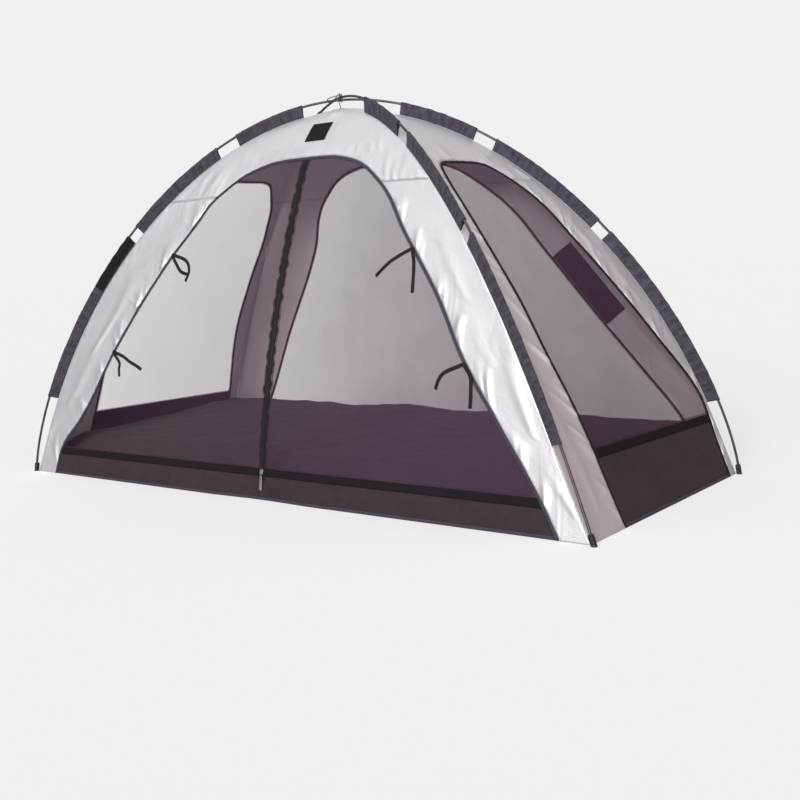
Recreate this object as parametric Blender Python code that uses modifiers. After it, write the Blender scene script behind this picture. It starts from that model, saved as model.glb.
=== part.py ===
"""Dome-shaped mosquito net tent that stands over a bed, on two crossed bent poles.

Metres, +X along the bed, +Y to the back, +Z up. The origin is the centre of the base, on the
surface that the tent stands on. Every wall is a loft of level straight lines between its two
seams, and every seam follows the pole above it.
"""
import math

import bmesh
import bpy
import numpy as np
from mathutils import Matrix, Vector

# Fit
TOUCH_GAP = 0.0003
SEAM_GAP = 0.0004
EDGE_GAP = 0.0006
GROUND_LIFT = 0.0005
MERGE = 0.00001

# Poles: each half bends as cos(t)**spread and sin(t)**rise
POLE_HALF_LENGTH = 1.000
POLE_HALF_WIDTH = 0.420
POLE_RADIUS = 0.0035
POLE_STEP = 0.055
FINE_STEPS = 20
LOWER_POLE_HEIGHT = 1.092
UPPER_POLE_HEIGHT = LOWER_POLE_HEIGHT + 2 * POLE_RADIUS + TOUCH_GAP
SPREAD_POWERS = {"lower": 1.06, "upper": 1.07}
RISE_POWERS = {"lower": 1.375, "upper": 1.93}
POLE_HEIGHTS = {"lower": LOWER_POLE_HEIGHT, "upper": UPPER_POLE_HEIGHT}
POLE_SECTIONS = 3
FERRULE_RADIUS = 0.0042
FERRULE_LENGTH = 0.030
FERRULE_STEP = 0.0008

# Feet: a cup on each corner holds a pole's tip
CUP_RADIUS = 0.0075
CUP_DEPTH = 0.026
CUP_FLOOR = 0.0035
CUP_SIDES = 16

# Fabric
SILVER_THICKNESS = 0.0012
NET_THICKNESS = 0.0010
SLEEVE_THICKNESS = 0.0006
CROWN_DROP = 0.032
CROWN_HEIGHT = LOWER_POLE_HEIGHT - CROWN_DROP
CAP_SEAM_SHARE = 0.778
SLEEVE_DEPTH = 0.034
SEAM_RISE = 0.080
CROWN_ROWS = 7
CAP_COLUMNS = 3

# Sleeves: three on each half pole, their ends as shares of the pole's height
SLEEVE_BORE = FERRULE_RADIUS + SEAM_GAP
SLEEVE_LEG_GAP = 0.0008
SLEEVE_STAND_OFF = 0.0016
SLEEVE_ARC_STEPS = 4
SLEEVE_END_SHARES = ((0.187, 0.616), (0.6475, 0.865), (0.895, 0.977))
FRONT_LEFT_SLEEVE_END_SHARES = ((0.220, 0.668), (0.696, 0.894), (0.925, 0.989))

# Windows: heights as shares of the crown height, widths as shares of the wall at that height
PIPING_RADIUS = 0.003
PIPING_GAP = PIPING_RADIUS + EDGE_GAP
SKIRT_ROWS = 2
WINDOW_ROWS = 11
SHOULDER_ROWS = 2
ARCH_COLUMNS = 8
SIDE_SKIRT_HEIGHT = 0.085
END_SKIRT_HEIGHT = 0.170
SIDE_ARCH_POWER = 3.3
END_ARCH_POWER = 8.0
SHOULDER_SHARES = {"front": 0.8264, "back": 0.8236, "left": 0.807, "right": 0.811}
ARCH_SHARES = {"front": 0.8642, "back": 0.862, "left": 0.8368, "right": 0.8264}
END_FRONT_EDGE_SHARES = ((0.0, 0.60), (0.15, 0.60), (0.232, 0.614), (0.375, 0.67), (0.483, 0.683),
                         (0.594, 0.715), (0.687, 0.72), (0.774, 0.674), (0.811, 0.61))
WINDOW_EDGE_SHARES = {
    "front_left": ((0.0, 0.91), (0.09, 0.904), (0.161, 0.85), (0.366, 0.775), (0.55, 0.71),
                   (0.63, 0.679), (0.722, 0.637), (0.77, 0.629), (0.8264, 0.545)),
    "front_right": ((0.0, 0.92), (0.053, 0.915), (0.225, 0.857), (0.352, 0.804), (0.513, 0.771),
                    (0.658, 0.705), (0.779, 0.649), (0.8264, 0.574)),
    "back_left": ((0.0, 0.86), (0.128, 0.811), (0.375, 0.736), (0.631, 0.619), (0.778, 0.573),
                  (0.8236, 0.49)),
    "back_right": ((0.0, 0.93), (0.158, 0.898), (0.258, 0.847), (0.409, 0.776), (0.597, 0.719),
                   (0.743, 0.694), (0.8236, 0.62)),
    "left_front": END_FRONT_EDGE_SHARES,
    "right_front": END_FRONT_EDGE_SHARES,
    "left_back": ((0.0, 0.90), (0.126, 0.90), (0.412, 0.835), (0.55, 0.87), (0.70, 0.90),
                  (0.774, 0.82), (0.807, 0.70)),
    "right_back": ((0.0, 0.90), (0.10, 0.92), (0.22, 0.95), (0.351, 0.80), (0.465, 0.70),
                   (0.613, 0.61), (0.764, 0.567), (0.811, 0.45)),
}

# Floor sheet: laid over the bed, lower at the front; rings from the hem up and inwards
FLOOR_FRONT_HEIGHT = 0.106
FLOOR_BACK_HEIGHT = 0.156
FLOOR_THICKNESS = 0.0012
FLOOR_RING_SHARES = (0.0, 0.35, 0.65, 0.88, 1.0)
FLOOR_MARGIN_SHARES = (0.0, 0.16, 0.42, 0.70, 1.0)
FLOOR_EDGES = {"front": 0.090, "back": 0.045, "left": 0.055, "right": 0.055}
FLOOR_EASE = PIPING_RADIUS + SEAM_GAP
FLOOR_COLUMNS = 12
FLOOR_ROWS = 6

# Zip on the front wall's centre line, which is an arc so that the slider can follow it
ZIP_BOTTOM = 0.053
ZIP_BLEND_WIDTH = 0.200
ZIP_FADE_HEIGHT = 0.050
ZIP_STEPS = 22
TAPE_WIDTH = 0.012
TAPE_THICKNESS = 0.0008
TEETH_WIDTH = 0.003
TEETH_THICKNESS = 0.0020
ZIP_SLOT = 0.0012
NOTCH_HEIGHT = ZIP_BOTTOM - SEAM_GAP

# Slider and its two pulls
SLIDER_HEIGHT = 0.075
SLIDER_LENGTH = 0.014
SLIDER_WIDTH = 0.011
SLIDER_PLATE = 0.0015
SLIDER_WEB = 0.0006
SLIDER_CLEARANCE = 0.0004
SLIDER_FRONT = TEETH_THICKNESS + SLIDER_CLEARANCE + SLIDER_PLATE
SLIDER_BACK = -(SLIDER_CLEARANCE + SLIDER_PLATE)
BAIL_RADIUS = 0.0044
BAIL_WIRE_RADIUS = 0.0006
BAIL_STEPS = 10
PULL_PIVOT = 0.00115
PULL_RING_RADIUS = 0.0046
PULL_HOLE_RADIUS = 0.0032
PULL_NECK = 0.0035
PULL_THICKNESS = 0.0012
RING_STEPS = 16
OUTER_PULL_LENGTH = 0.050
OUTER_PULL_WIDTH = 0.009
INNER_PULL_LENGTH = 0.024
INNER_PULL_WIDTH = 0.007

# Pockets inside the back right and front left bands
POCKET_WIDTH = 0.076
POCKET_BOTTOM_SHARE = 0.39
POCKET_TOP_SHARE = 0.575
POCKET_BULGE = 0.020
POCKET_INSET = 0.005
POCKET_COLUMNS = 6
POCKET_ROWS = 6

# Bare patch on the front of the crown
PATCH_WIDTH = 0.072
PATCH_BOTTOM_SHARE = 0.912
PATCH_TOP_SHARE = 0.961
PATCH_THICKNESS = 0.0008
PATCH_STEPS = 3
PATCH_LIFT = SILVER_THICKNESS + EDGE_GAP

# Ties and the cord at the crossing
TIE_WIDTH = 0.010
TIE_THICKNESS = 0.0008
CORD_RADIUS = 0.0012
ROUTE_STEPS = 3
TIE_EASE = 0.5

# Each tie is one ribbon, sewn at its middle to the window's edge: tail, seam, tail
TIE_ROUTES = {
    "tie_front_left_upper": (
        (-0.3759, -0.2985, 0.5881), (-0.3668, -0.2956, 0.6047), (-0.3648, -0.2908, 0.6207),
        (-0.3779, -0.2833, 0.6413), (-0.3999, -0.2794, 0.6542), (-0.4393, -0.2768, 0.6649),
        (-0.4470, -0.2761, 0.6670), (-0.4519, -0.2762, 0.6688), (-0.4525, -0.2772, 0.6695),
        (-0.4518, -0.2785, 0.6695), (-0.4481, -0.2801, 0.6662), (-0.4412, -0.2825, 0.6589),
        (-0.4218, -0.2882, 0.6380), (-0.4038, -0.2922, 0.6197), (-0.3879, -0.2929, 0.6124),
        (-0.3699, -0.2926, 0.6081),
    ),
    "tie_front_left_lower": (
        (-0.5189, -0.3630, 0.3328), (-0.5449, -0.3618, 0.3439), (-0.5749, -0.3601, 0.3549),
        (-0.6049, -0.3578, 0.3689), (-0.6447, -0.3552, 0.3804), (-0.6524, -0.3547, 0.3826),
        (-0.6572, -0.3550, 0.3844), (-0.6579, -0.3561, 0.3850), (-0.6572, -0.3573, 0.3849),
        (-0.6531, -0.3585, 0.3818), (-0.6456, -0.3600, 0.3752), (-0.6189, -0.3642, 0.3514),
        (-0.6199, -0.3666, 0.3331), (-0.6179, -0.3692, 0.3097),
    ),
    "tie_front_right_upper": (
        (0.3271, -0.2812, 0.5842), (0.3451, -0.2772, 0.6006), (0.3661, -0.2709, 0.6187),
        (0.3921, -0.2643, 0.6334), (0.4190, -0.2584, 0.6460), (0.4262, -0.2569, 0.6494),
        (0.4301, -0.2564, 0.6521), (0.4304, -0.2573, 0.6530), (0.4302, -0.2586, 0.6528),
        (0.4312, -0.2607, 0.6484), (0.4346, -0.2641, 0.6391), (0.4412, -0.2699, 0.6202),
        (0.4446, -0.2767, 0.5947), (0.4466, -0.2842, 0.5675), (0.4481, -0.2913, 0.5401),
    ),
    "tie_front_right_lower": (
        (0.5501, -0.3500, 0.3099), (0.5561, -0.3468, 0.3293), (0.5681, -0.3422, 0.3473),
        (0.5921, -0.3378, 0.3591), (0.6152, -0.3349, 0.3671), (0.6228, -0.3339, 0.3696),
        (0.6268, -0.3338, 0.3718), (0.6269, -0.3349, 0.3725), (0.6268, -0.3361, 0.3724),
        (0.6289, -0.3377, 0.3686), (0.6348, -0.3399, 0.3605), (0.6481, -0.3437, 0.3417),
        (0.6511, -0.3479, 0.3194), (0.6526, -0.3529, 0.2952), (0.6531, -0.3578, 0.2699),
    ),
}

# From the crown round the crossing twice, then a bow and a tail
CORD_ROUTE = (
    (-0.0034, 0.0000, 1.0618), (-0.0034, 0.0000, 1.0720), (-0.0034, -0.0040, 1.0800),
    (-0.0034, -0.0068, 1.0885), (-0.0032, -0.0070, 1.0955), (-0.0030, -0.0050, 1.1025),
    (-0.0024, 0.0000, 1.1048), (-0.0016, 0.0050, 1.1025), (-0.0010, 0.0070, 1.0955),
    (-0.0006, 0.0068, 1.0900), (-0.0002, 0.0040, 1.0868), (0.0002, 0.0000, 1.0858),
    (0.0006, -0.0040, 1.0868), (0.0010, -0.0068, 1.0900), (0.0013, -0.0070, 1.0955),
    (0.0016, -0.0050, 1.1025), (0.0024, 0.0000, 1.1048), (0.0010, 0.0030, 1.1075),
    (-0.0030, 0.0040, 1.1085), (-0.0090, 0.0020, 1.1075), (-0.0180, -0.0030, 1.1050),
    (-0.0280, -0.0100, 1.1020), (-0.0340, -0.0160, 1.0985), (-0.0350, -0.0215, 1.0940),
    (-0.0280, -0.0225, 1.0910), (-0.0180, -0.0200, 1.0915), (-0.0090, -0.0165, 1.0955),
    (-0.0030, -0.0145, 1.1010), (0.0020, -0.0125, 1.1060), (0.0060, -0.0110, 1.1100),
)

CORNERS = {
    "front_left": (-1, -1, "lower"),
    "back_right": (1, 1, "lower"),
    "front_right": (1, -1, "upper"),
    "back_left": (-1, 1, "upper"),
}
WALLS = {
    "front": ("front_left", "front_right", 0, Vector((0, -1, 0))),
    "back": ("back_left", "back_right", 0, Vector((0, 1, 0))),
    "left": ("front_left", "back_left", 1, Vector((-1, 0, 0))),
    "right": ("front_right", "back_right", 1, Vector((1, 0, 0))),
}
SLEEVE_NAMES = ("low", "middle", "top")
HALF_DIAGONAL = math.hypot(POLE_HALF_LENGTH, POLE_HALF_WIDTH)
ZIP_HALF_GAP = ZIP_SLOT / 2 + TAPE_WIDTH + SEAM_GAP


def mix(a, b, share):
    return a + (b - a) * share


def finish(name, colour, roughness, metallic=0.0):
    material = bpy.data.materials.new(name)
    material.use_nodes = True
    shader = material.node_tree.nodes["Principled BSDF"]
    shader.inputs["Base Color"].default_value = (*colour, 1.0)
    shader.inputs["Roughness"].default_value = roughness
    shader.inputs["Metallic"].default_value = metallic
    return material


def silver(name):
    return finish(name, (0.72, 0.72, 0.77), 0.45)


def dark_net(name):
    return finish(name, (0.16, 0.14, 0.16), 0.8)


def dark_fabric(name):
    return finish(name, (0.075, 0.06, 0.07), 0.7)


def black_trim(name):
    return finish(name, (0.02, 0.02, 0.024), 0.6)


def metal(name):
    return finish(name, (0.62, 0.62, 0.64), 0.3, 1.0)


def smooth_share(points, place):
    """Smooth curve through a short table of shares."""
    xs = np.array([p[0] for p in points])
    ys = np.array([p[1] for p in points])
    slopes = np.gradient(ys, xs)
    k = int(np.clip(np.searchsorted(xs, place) - 1, 0, len(xs) - 2))
    width = xs[k + 1] - xs[k]
    s = min(max((place - xs[k]) / width, 0.0), 1.0)
    start = (1 + 2 * s) * (1 - s) ** 2 * ys[k] + s * (1 - s) ** 2 * width * slopes[k]
    end = s * s * (3 - 2 * s) * ys[k + 1] + s * s * (s - 1) * width * slopes[k + 1]
    return start + end


def pole_point(corner, turn):
    """Point of the pole's centre line: turn is 0 at the foot and pi/2 at the crossing."""
    side_x, side_y, pole = CORNERS[corner]
    reach = max(math.cos(turn), 0.0) ** SPREAD_POWERS[pole]
    height = POLE_HEIGHTS[pole] * math.sin(turn) ** RISE_POWERS[pole]
    return Vector((side_x * POLE_HALF_LENGTH * reach, side_y * POLE_HALF_WIDTH * reach, height))


def turn_at_share(corner, height_share):
    pole = CORNERS[corner][2]
    return math.asin(min(max(height_share, 0.0), 1.0) ** (1.0 / RISE_POWERS[pole]))


def foot_inset(corner):
    """Room for the cup between a pole's foot and the corner of the fabric."""
    low = pole_point(corner, turn_at_share(corner, CUP_DEPTH / LOWER_POLE_HEIGHT))
    lean = pole_point(corner, 0.0) - low
    return CUP_RADIUS * lean.length / abs(lean.z) + SILVER_THICKNESS + 2 * SEAM_GAP


def seam_point(corner, height):
    """Point of the seam under the pole, at a height above the base."""
    side_x, side_y, pole = CORNERS[corner]
    turn = turn_at_share(corner, height / CROWN_HEIGHT)
    inset = mix(foot_inset(corner), SLEEVE_DEPTH, 1.0 - math.exp(-height / SEAM_RISE))
    reach = (1.0 - inset / HALF_DIAGONAL) * max(math.cos(turn), 0.0) ** SPREAD_POWERS[pole]
    return Vector((side_x * POLE_HALF_LENGTH * reach, side_y * POLE_HALF_WIDTH * reach, height))


def lofted(wall, share, height):
    first, second = WALLS[wall][:2]
    return seam_point(first, height).lerp(seam_point(second, height), share)


def share_along(wall, along, height):
    first, second, axis = WALLS[wall][:3]
    start = seam_point(first, height)[axis]
    end = seam_point(second, height)[axis]
    return (along - start) / (end - start)


def bare_centre(height):
    return lofted("front", share_along("front", 0.0, height), height)


def circle_through(points):
    """Centre and radius, in the YZ plane, of the circle through three points."""
    rows = np.array([[2 * p.y, 2 * p.z, 1.0] for p in points])
    squares = np.array([p.y ** 2 + p.z ** 2 for p in points])
    centre_y, centre_z, rest = np.linalg.solve(rows, squares)
    return centre_y, centre_z, math.sqrt(rest + centre_y ** 2 + centre_z ** 2)


ZIP_TOP = ARCH_SHARES["front"] * CROWN_HEIGHT - PIPING_GAP
ZIP_CENTRE_Y, ZIP_CENTRE_Z, ZIP_RADIUS = circle_through(
    [bare_centre(mix(ZIP_BOTTOM, ZIP_TOP, share)) for share in (0.1, 0.5, 0.93)])


def zip_line(height):
    return ZIP_CENTRE_Y - math.sqrt(ZIP_RADIUS ** 2 - (height - ZIP_CENTRE_Z) ** 2)


def wall_point(wall, share, height):
    """Point of a wall's inner face; the front wall is drawn onto the zip's arc."""
    point = lofted(wall, share, height)
    if wall == "front" and abs(point.x) < ZIP_BLEND_WIDTH:
        near = (1.0 - (point.x / ZIP_BLEND_WIDTH) ** 2) ** 2
        above = min(max((height - ZIP_TOP) / ZIP_FADE_HEIGHT, 0.0), 1.0)
        fade = 1.0 - above * above * (3.0 - 2.0 * above)
        if fade > 0.0:
            point.y += near * fade * (zip_line(height) - bare_centre(height).y)
    return point


def wall_at(wall, along, height):
    return wall_point(wall, share_along(wall, along, height), height)


def wall_normal(wall, along, height):
    """Unit normal of a wall, outwards."""
    step = POLE_RADIUS
    level = wall_at(wall, along + step, height) - wall_at(wall, along - step, height)
    low = max(height - step, 0.0)
    rise = wall_at(wall, along, height + step) - wall_at(wall, along, low)
    normal = level.cross(rise).normalized()
    if normal.dot(WALLS[wall][3]) < 0.0:
        normal.negate()
    return normal


def new_object(name, mesh, material, collection):
    mesh.materials.clear()
    mesh.materials.append(material)
    thing = bpy.data.objects.new(name, mesh)
    collection.objects.link(thing)
    return thing


def grid_mesh(points):
    """Sheet whose vertices are a table of points, made from a unit grid."""
    columns, rows = len(points) - 1, len(points[0]) - 1
    sheet = bmesh.new()
    bmesh.ops.create_grid(sheet, x_segments=columns, y_segments=rows, size=0.5)
    for vert in sheet.verts:
        i = round((vert.co.x + 0.5) * columns)
        j = round((vert.co.y + 0.5) * rows)
        vert.co = points[i][j]
    return sheet


def turn_faces(sheet, facing):
    """Point a sheet's faces the way that facing says at each face's centre."""
    sheet.normal_update()
    lean = sum(face.normal.dot(facing(face.calc_center_median())) for face in sheet.faces)
    if lean < 0.0:
        bmesh.ops.reverse_faces(sheet, faces=sheet.faces[:])


def thicken(thing, thickness):
    wall = thing.modifiers.new("thickness", "SOLIDIFY")
    wall.thickness = thickness
    wall.offset = 1.0
    wall.use_even_offset = True


def cloth(name, sheet, facing, thickness, material, collection):
    """Solid of a fabric sheet, its thickness outside the sheet's points."""
    bmesh.ops.remove_doubles(sheet, verts=sheet.verts[:], dist=MERGE)
    turn_faces(sheet, facing)
    mesh = bpy.data.meshes.new(name)
    sheet.to_mesh(mesh)
    sheet.free()
    thing = new_object(name, mesh, material, collection)
    thicken(thing, thickness)
    return thing


def wall_cloth(name, wall, places, material, collection, thickness, lift=0.0):
    """Fabric on a wall, from a table of places (along, height)."""
    points = []
    for column in places:
        points.append([wall_at(wall, h, z) + wall_normal(wall, h, z) * lift for h, z in column])
    outwards = WALLS[wall][3]
    return cloth(name, grid_mesh(points), lambda centre: outwards, thickness, material,
                 collection)


def tube(name, points, radius, material, collection, resolution=2, radii=None):
    """Round tube along points, with flat ends."""
    curve = bpy.data.curves.new(name, "CURVE")
    curve.dimensions = "3D"
    curve.bevel_depth = radius
    curve.bevel_resolution = resolution
    curve.use_fill_caps = True
    line = curve.splines.new("POLY")
    line.points.add(len(points) - 1)
    for k, point in enumerate(points):
        line.points[k].co = (*point, 1.0)
        if radii:
            line.points[k].radius = radii[k]
    curve.materials.append(material)
    thing = bpy.data.objects.new(name, curve)
    collection.objects.link(thing)
    return thing


def as_mesh(thing):
    """The same object as a mesh with welded caps."""
    seen = thing.evaluated_get(bpy.context.evaluated_depsgraph_get())
    mesh = bpy.data.meshes.new_from_object(seen)
    body = bmesh.new()
    body.from_mesh(mesh)
    bmesh.ops.remove_doubles(body, verts=body.verts[:], dist=MERGE)
    bmesh.ops.recalc_face_normals(body, faces=body.faces[:])
    body.to_mesh(mesh)
    body.free()
    solid = bpy.data.objects.new(thing.name + "_solid", mesh)
    solid.matrix_world = thing.matrix_world
    for holder in thing.users_collection:
        holder.objects.link(solid)
    name = thing.name
    bpy.data.objects.remove(thing)
    solid.name = name
    return solid


# Window outlines

def is_side(wall):
    return wall in ("front", "back")


def window_sizes(wall):
    """Skirt height, shoulder height, arch height and how square the arch is."""
    skirt, power = END_SKIRT_HEIGHT, END_ARCH_POWER
    if is_side(wall):
        skirt, power = SIDE_SKIRT_HEIGHT, SIDE_ARCH_POWER
    return skirt, SHOULDER_SHARES[wall] * CROWN_HEIGHT, ARCH_SHARES[wall] * CROWN_HEIGHT, power


def window_edge(wall, side, height):
    """Where the window ends, on the side of the wall's first (-1) or second (1) corner."""
    axis = WALLS[wall][2]
    corner = WALLS[wall][0 if side < 0 else 1]
    end = corner.replace(wall, "").strip("_")
    shares = WINDOW_EDGE_SHARES[f"{wall}_{end}"]
    return smooth_share(shares, height / CROWN_HEIGHT) * seam_point(corner, height)[axis]


def side_heights(wall):
    """Heights of the rows up a window's side: skirt, window, then the shoulder."""
    skirt, shoulder = window_sizes(wall)[:2]
    seam = CAP_SEAM_SHARE * CROWN_HEIGHT
    heights = [GROUND_LIFT, NOTCH_HEIGHT if is_side(wall) else skirt / 2]
    heights += [mix(skirt, seam, k / WINDOW_ROWS) for k in range(WINDOW_ROWS)]
    heights += [mix(seam, shoulder, k / SHOULDER_ROWS) for k in range(SHOULDER_ROWS + 1)]
    return heights


def window_outline(wall):
    """Places round a window: up its first side, over the arch and down its second side."""
    _, shoulder, top, power = window_sizes(wall)
    heights = side_heights(wall)
    ends = [window_edge(wall, side, shoulder) for side in (-1, 1)]
    places = [(window_edge(wall, -1, z), z) for z in heights]
    for k in range(1, ARCH_COLUMNS):
        f = math.sin(math.pi * (k / ARCH_COLUMNS - 0.5))
        rise = 1.0 - abs(f) ** power
        places.append((mix(*ends, (f + 1.0) / 2.0), mix(shoulder, top, rise)))
    places += [(window_edge(wall, 1, z), z) for z in reversed(heights)]
    return places


def offset_outline(wall, distance):
    """The window's outline moved by a distance in the wall, away from the window."""
    axis = WALLS[wall][2]
    places = window_outline(wall)
    points = [wall_at(wall, h, z) for h, z in places]
    moved = []
    for k, (h, z) in enumerate(places):
        before = (points[k] - points[max(k - 1, 0)]).normalized()
        after = (points[min(k + 1, len(points) - 1)] - points[k]).normalized()
        run = (before + after).normalized()
        mitre = max(run.dot(before), run.dot(after))
        across = wall_normal(wall, h, z).cross(run).normalized()
        middle = wall_at(wall, 0.0, min(z, window_sizes(wall)[0])) - points[k]
        if across.dot(middle) > 0.0:
            across.negate()
        point = points[k] + across * (distance / mitre)
        if k in (0, len(places) - 1):
            point = points[k].copy()
            point[axis] += distance / across[axis]
        moved.append((point[axis], point.z))
    return moved


def split_outline(wall, places):
    """First side, arch and second side, both sides from the base up."""
    rows = len(side_heights(wall))
    return places[:rows], places[rows - 1:len(places) - rows + 1], places[-rows:][::-1]


def filled(bottom, top, first, second):
    """Places of a patch between four boundary lines, as a table of columns."""
    columns, rows = len(bottom) - 1, len(first) - 1
    table = []
    for i in range(columns + 1):
        u = i / columns
        column = []
        for j in range(rows + 1):
            v = j / rows
            place = []
            for c in (0, 1):
                level = mix(bottom[i][c], top[i][c], v) + mix(first[j][c], second[j][c], u)
                corners = mix(mix(bottom[0][c], bottom[-1][c], u), mix(top[0][c], top[-1][c], u), v)
                place.append(level - corners)
            column.append(tuple(place))
        table.append(column)
    return table


def line_between(start, end, steps):
    return [tuple(mix(a, b, k / steps) for a, b in zip(start, end)) for k in range(steps + 1)]


# Pieces

def half_stations(corner):
    """Turns up a half pole, with a stop at each sleeve's end, and the index of each stop."""
    ends = FRONT_LEFT_SLEEVE_END_SHARES if corner == "front_left" else SLEEVE_END_SHARES
    stops = [0.0] + [turn_at_share(corner, s) for pair in ends for s in pair] + [math.pi / 2]
    turns, marks = [0.0], [0]
    for low, high in zip(stops, stops[1:]):
        shares = np.linspace(0.0, 1.0, FINE_STEPS + 1)
        fine = [pole_point(corner, mix(low, high, share)) for share in shares]
        lengths = np.cumsum([0.0] + [(b - a).length for a, b in zip(fine, fine[1:])])
        steps = max(1, round(lengths[-1] / POLE_STEP))
        for k in range(1, steps + 1):
            turns.append(mix(low, high, np.interp(lengths[-1] * k / steps, lengths, shares)))
        marks.append(len(turns) - 1)
    return turns, marks


def pole_path(first, second):
    turns = half_stations(first)[0]
    path = [pole_point(first, t) for t in turns]
    path += [pole_point(second, t) for t in reversed(half_stations(second)[0][:-1])]
    for near, far in ((0, 1), (-1, -2)):
        path[near] += (path[far] - path[near]).normalized() * (CUP_FLOOR + TOUCH_GAP)
    return path


def nearest_stop(path, share):
    lengths = np.cumsum([0.0] + [(b - a).length for a, b in zip(path, path[1:])])
    return int(np.argmin(np.abs(lengths - share * lengths[-1])))


def pole(name, first, second, material, collection):
    """Pole in sections, with a ferrule round each end of the middle ones."""
    path = pole_path(first, second)
    stops = [nearest_stop(path, k / POLE_SECTIONS) for k in range(POLE_SECTIONS + 1)]
    for k in range(POLE_SECTIONS):
        points = [p.copy() for p in path[stops[k]:stops[k + 1] + 1]]
        radii = [1.0] * len(points)
        thick = FERRULE_RADIUS / POLE_RADIUS
        if k > 0:
            run = (points[1] - points[0]).normalized()
            start = points[0] + run * (TOUCH_GAP / 2)
            collar = [start, start + run * FERRULE_LENGTH]
            points[:1] = collar + [collar[1] + run * FERRULE_STEP]
            radii[:1] = [thick, thick, 1.0]
        if k < POLE_SECTIONS - 1:
            run = (points[-2] - points[-1]).normalized()
            points[-1] = points[-1] + run * (TOUCH_GAP / 2)
        tube(f"{name}_section_{k + 1}", points, POLE_RADIUS, material, collection, radii=radii)


def sleeves(corner, collection):
    """Three fabric channels on a half pole, each folded over the pole and sewn at the seam."""
    turns, marks = half_stations(corner)
    side_x, side_y, pole_name = CORNERS[corner]
    across = Vector((-side_y * POLE_HALF_WIDTH, side_x * POLE_HALF_LENGTH, 0.0)).normalized()
    for k, part in enumerate(SLEEVE_NAMES):
        columns = []
        for turn in turns[marks[2 * k + 1]:marks[2 * k + 2] + 1]:
            held = pole_point(corner, turn)
            seam = seam_point(corner, CROWN_HEIGHT * math.sin(turn) ** RISE_POWERS[pole_name])
            out = (held - seam).normalized()
            leg = seam + out * SLEEVE_STAND_OFF
            ring = []
            for j in range(SLEEVE_ARC_STEPS + 1):
                angle = math.pi * (0.5 - j / SLEEVE_ARC_STEPS)
                ring.append(held + (across * math.sin(angle) + out * math.cos(angle)) * SLEEVE_BORE)
            columns.append([leg + across * SLEEVE_LEG_GAP, *ring, leg - across * SLEEVE_LEG_GAP])
        name = f"sleeve_{corner}_{part}"
        sheet = grid_mesh(columns)
        middle = [column[len(column) // 2] for column in columns]

        def away(centre):
            near = min(middle, key=lambda point: (point - centre).length)
            return near - Vector((0.0, 0.0, near.z / 2))

        cloth(name, sheet, away, SLEEVE_THICKNESS, dark_fabric(name), collection)


def bands(wall, collection):
    """Silver strips between a window and the two seams beside it."""
    first, second, axis = WALLS[wall][:3]
    rows = 1 + SKIRT_ROWS + WINDOW_ROWS
    outline = offset_outline(wall, PIPING_GAP)
    left, _, right = split_outline(wall, outline)
    for corner, inner in ((first, left), (second, right)):
        side = CORNERS[corner][axis]
        columns = [[], [], []]
        for k, z in enumerate(side_heights(wall)[:rows]):
            lower = SEAM_GAP / 2 if k == rows - 1 else 0.0
            edge = (inner[k][0], inner[k][1] - lower)
            seam = (seam_point(corner, z - lower)[axis] - side * SEAM_GAP, z - lower)
            for j, column in enumerate(columns):
                column.append(tuple(mix(a, b, j / 2) for a, b in zip(edge, seam)))
        end = corner.replace(wall, "").strip("_")
        name = f"band_{wall}_{end}"
        wall_cloth(name, wall, columns, silver(name), collection, SILVER_THICKNESS)


def crown(collection):
    """The silver top: four caps joined along the seams, down to the cap seams and windows."""
    sheet = bmesh.new()
    rise = (RISE_POWERS["lower"] + RISE_POWERS["upper"]) / 2
    seam = CAP_SEAM_SHARE * CROWN_HEIGHT + SEAM_GAP / 2
    rows = 1 + SKIRT_ROWS + WINDOW_ROWS
    for wall in WALLS:
        outline = offset_outline(wall, PIPING_GAP)
        lower = outline[rows - 1:len(outline) - rows + 1]
        lower = [(h, z + (SEAM_GAP / 2 if k in (0, len(lower) - 1) else 0.0))
                 for k, (h, z) in enumerate(lower)]
        starts = [(0.0, seam)]
        for k in range(1, CAP_COLUMNS):
            z = mix(seam, lower[0][1], k / CAP_COLUMNS)
            starts.append((mix(0.0, share_along(wall, *lower[0]), k / CAP_COLUMNS), z))
        starts += [(share_along(wall, h, z), z) for h, z in lower]
        for k in range(1, CAP_COLUMNS):
            z = mix(lower[-1][1], seam, k / CAP_COLUMNS)
            starts.append((mix(share_along(wall, *lower[-1]), 1.0, k / CAP_COLUMNS), z))
        starts.append((1.0, seam))
        table = []
        for share, z in starts:
            low = math.asin((z / CROWN_HEIGHT) ** (1.0 / rise))
            turns = [mix(low, math.pi / 2, k / CROWN_ROWS) for k in range(CROWN_ROWS + 1)]
            heights = [z] + [CROWN_HEIGHT * math.sin(t) ** rise for t in turns[1:]]
            table.append([wall_point(wall, share, min(h, CROWN_HEIGHT)) for h in heights])
        cap = grid_mesh(table)
        mesh = bpy.data.meshes.new("cap")
        turn_faces(cap, lambda centre: Vector((0.0, 0.0, 1.0)))
        cap.to_mesh(mesh)
        cap.free()
        sheet.from_mesh(mesh)
        bpy.data.meshes.remove(mesh)
    cloth("crown", sheet, lambda centre: Vector((0.0, 0.0, 1.0)), SILVER_THICKNESS,
          silver("crown"), collection)


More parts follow.
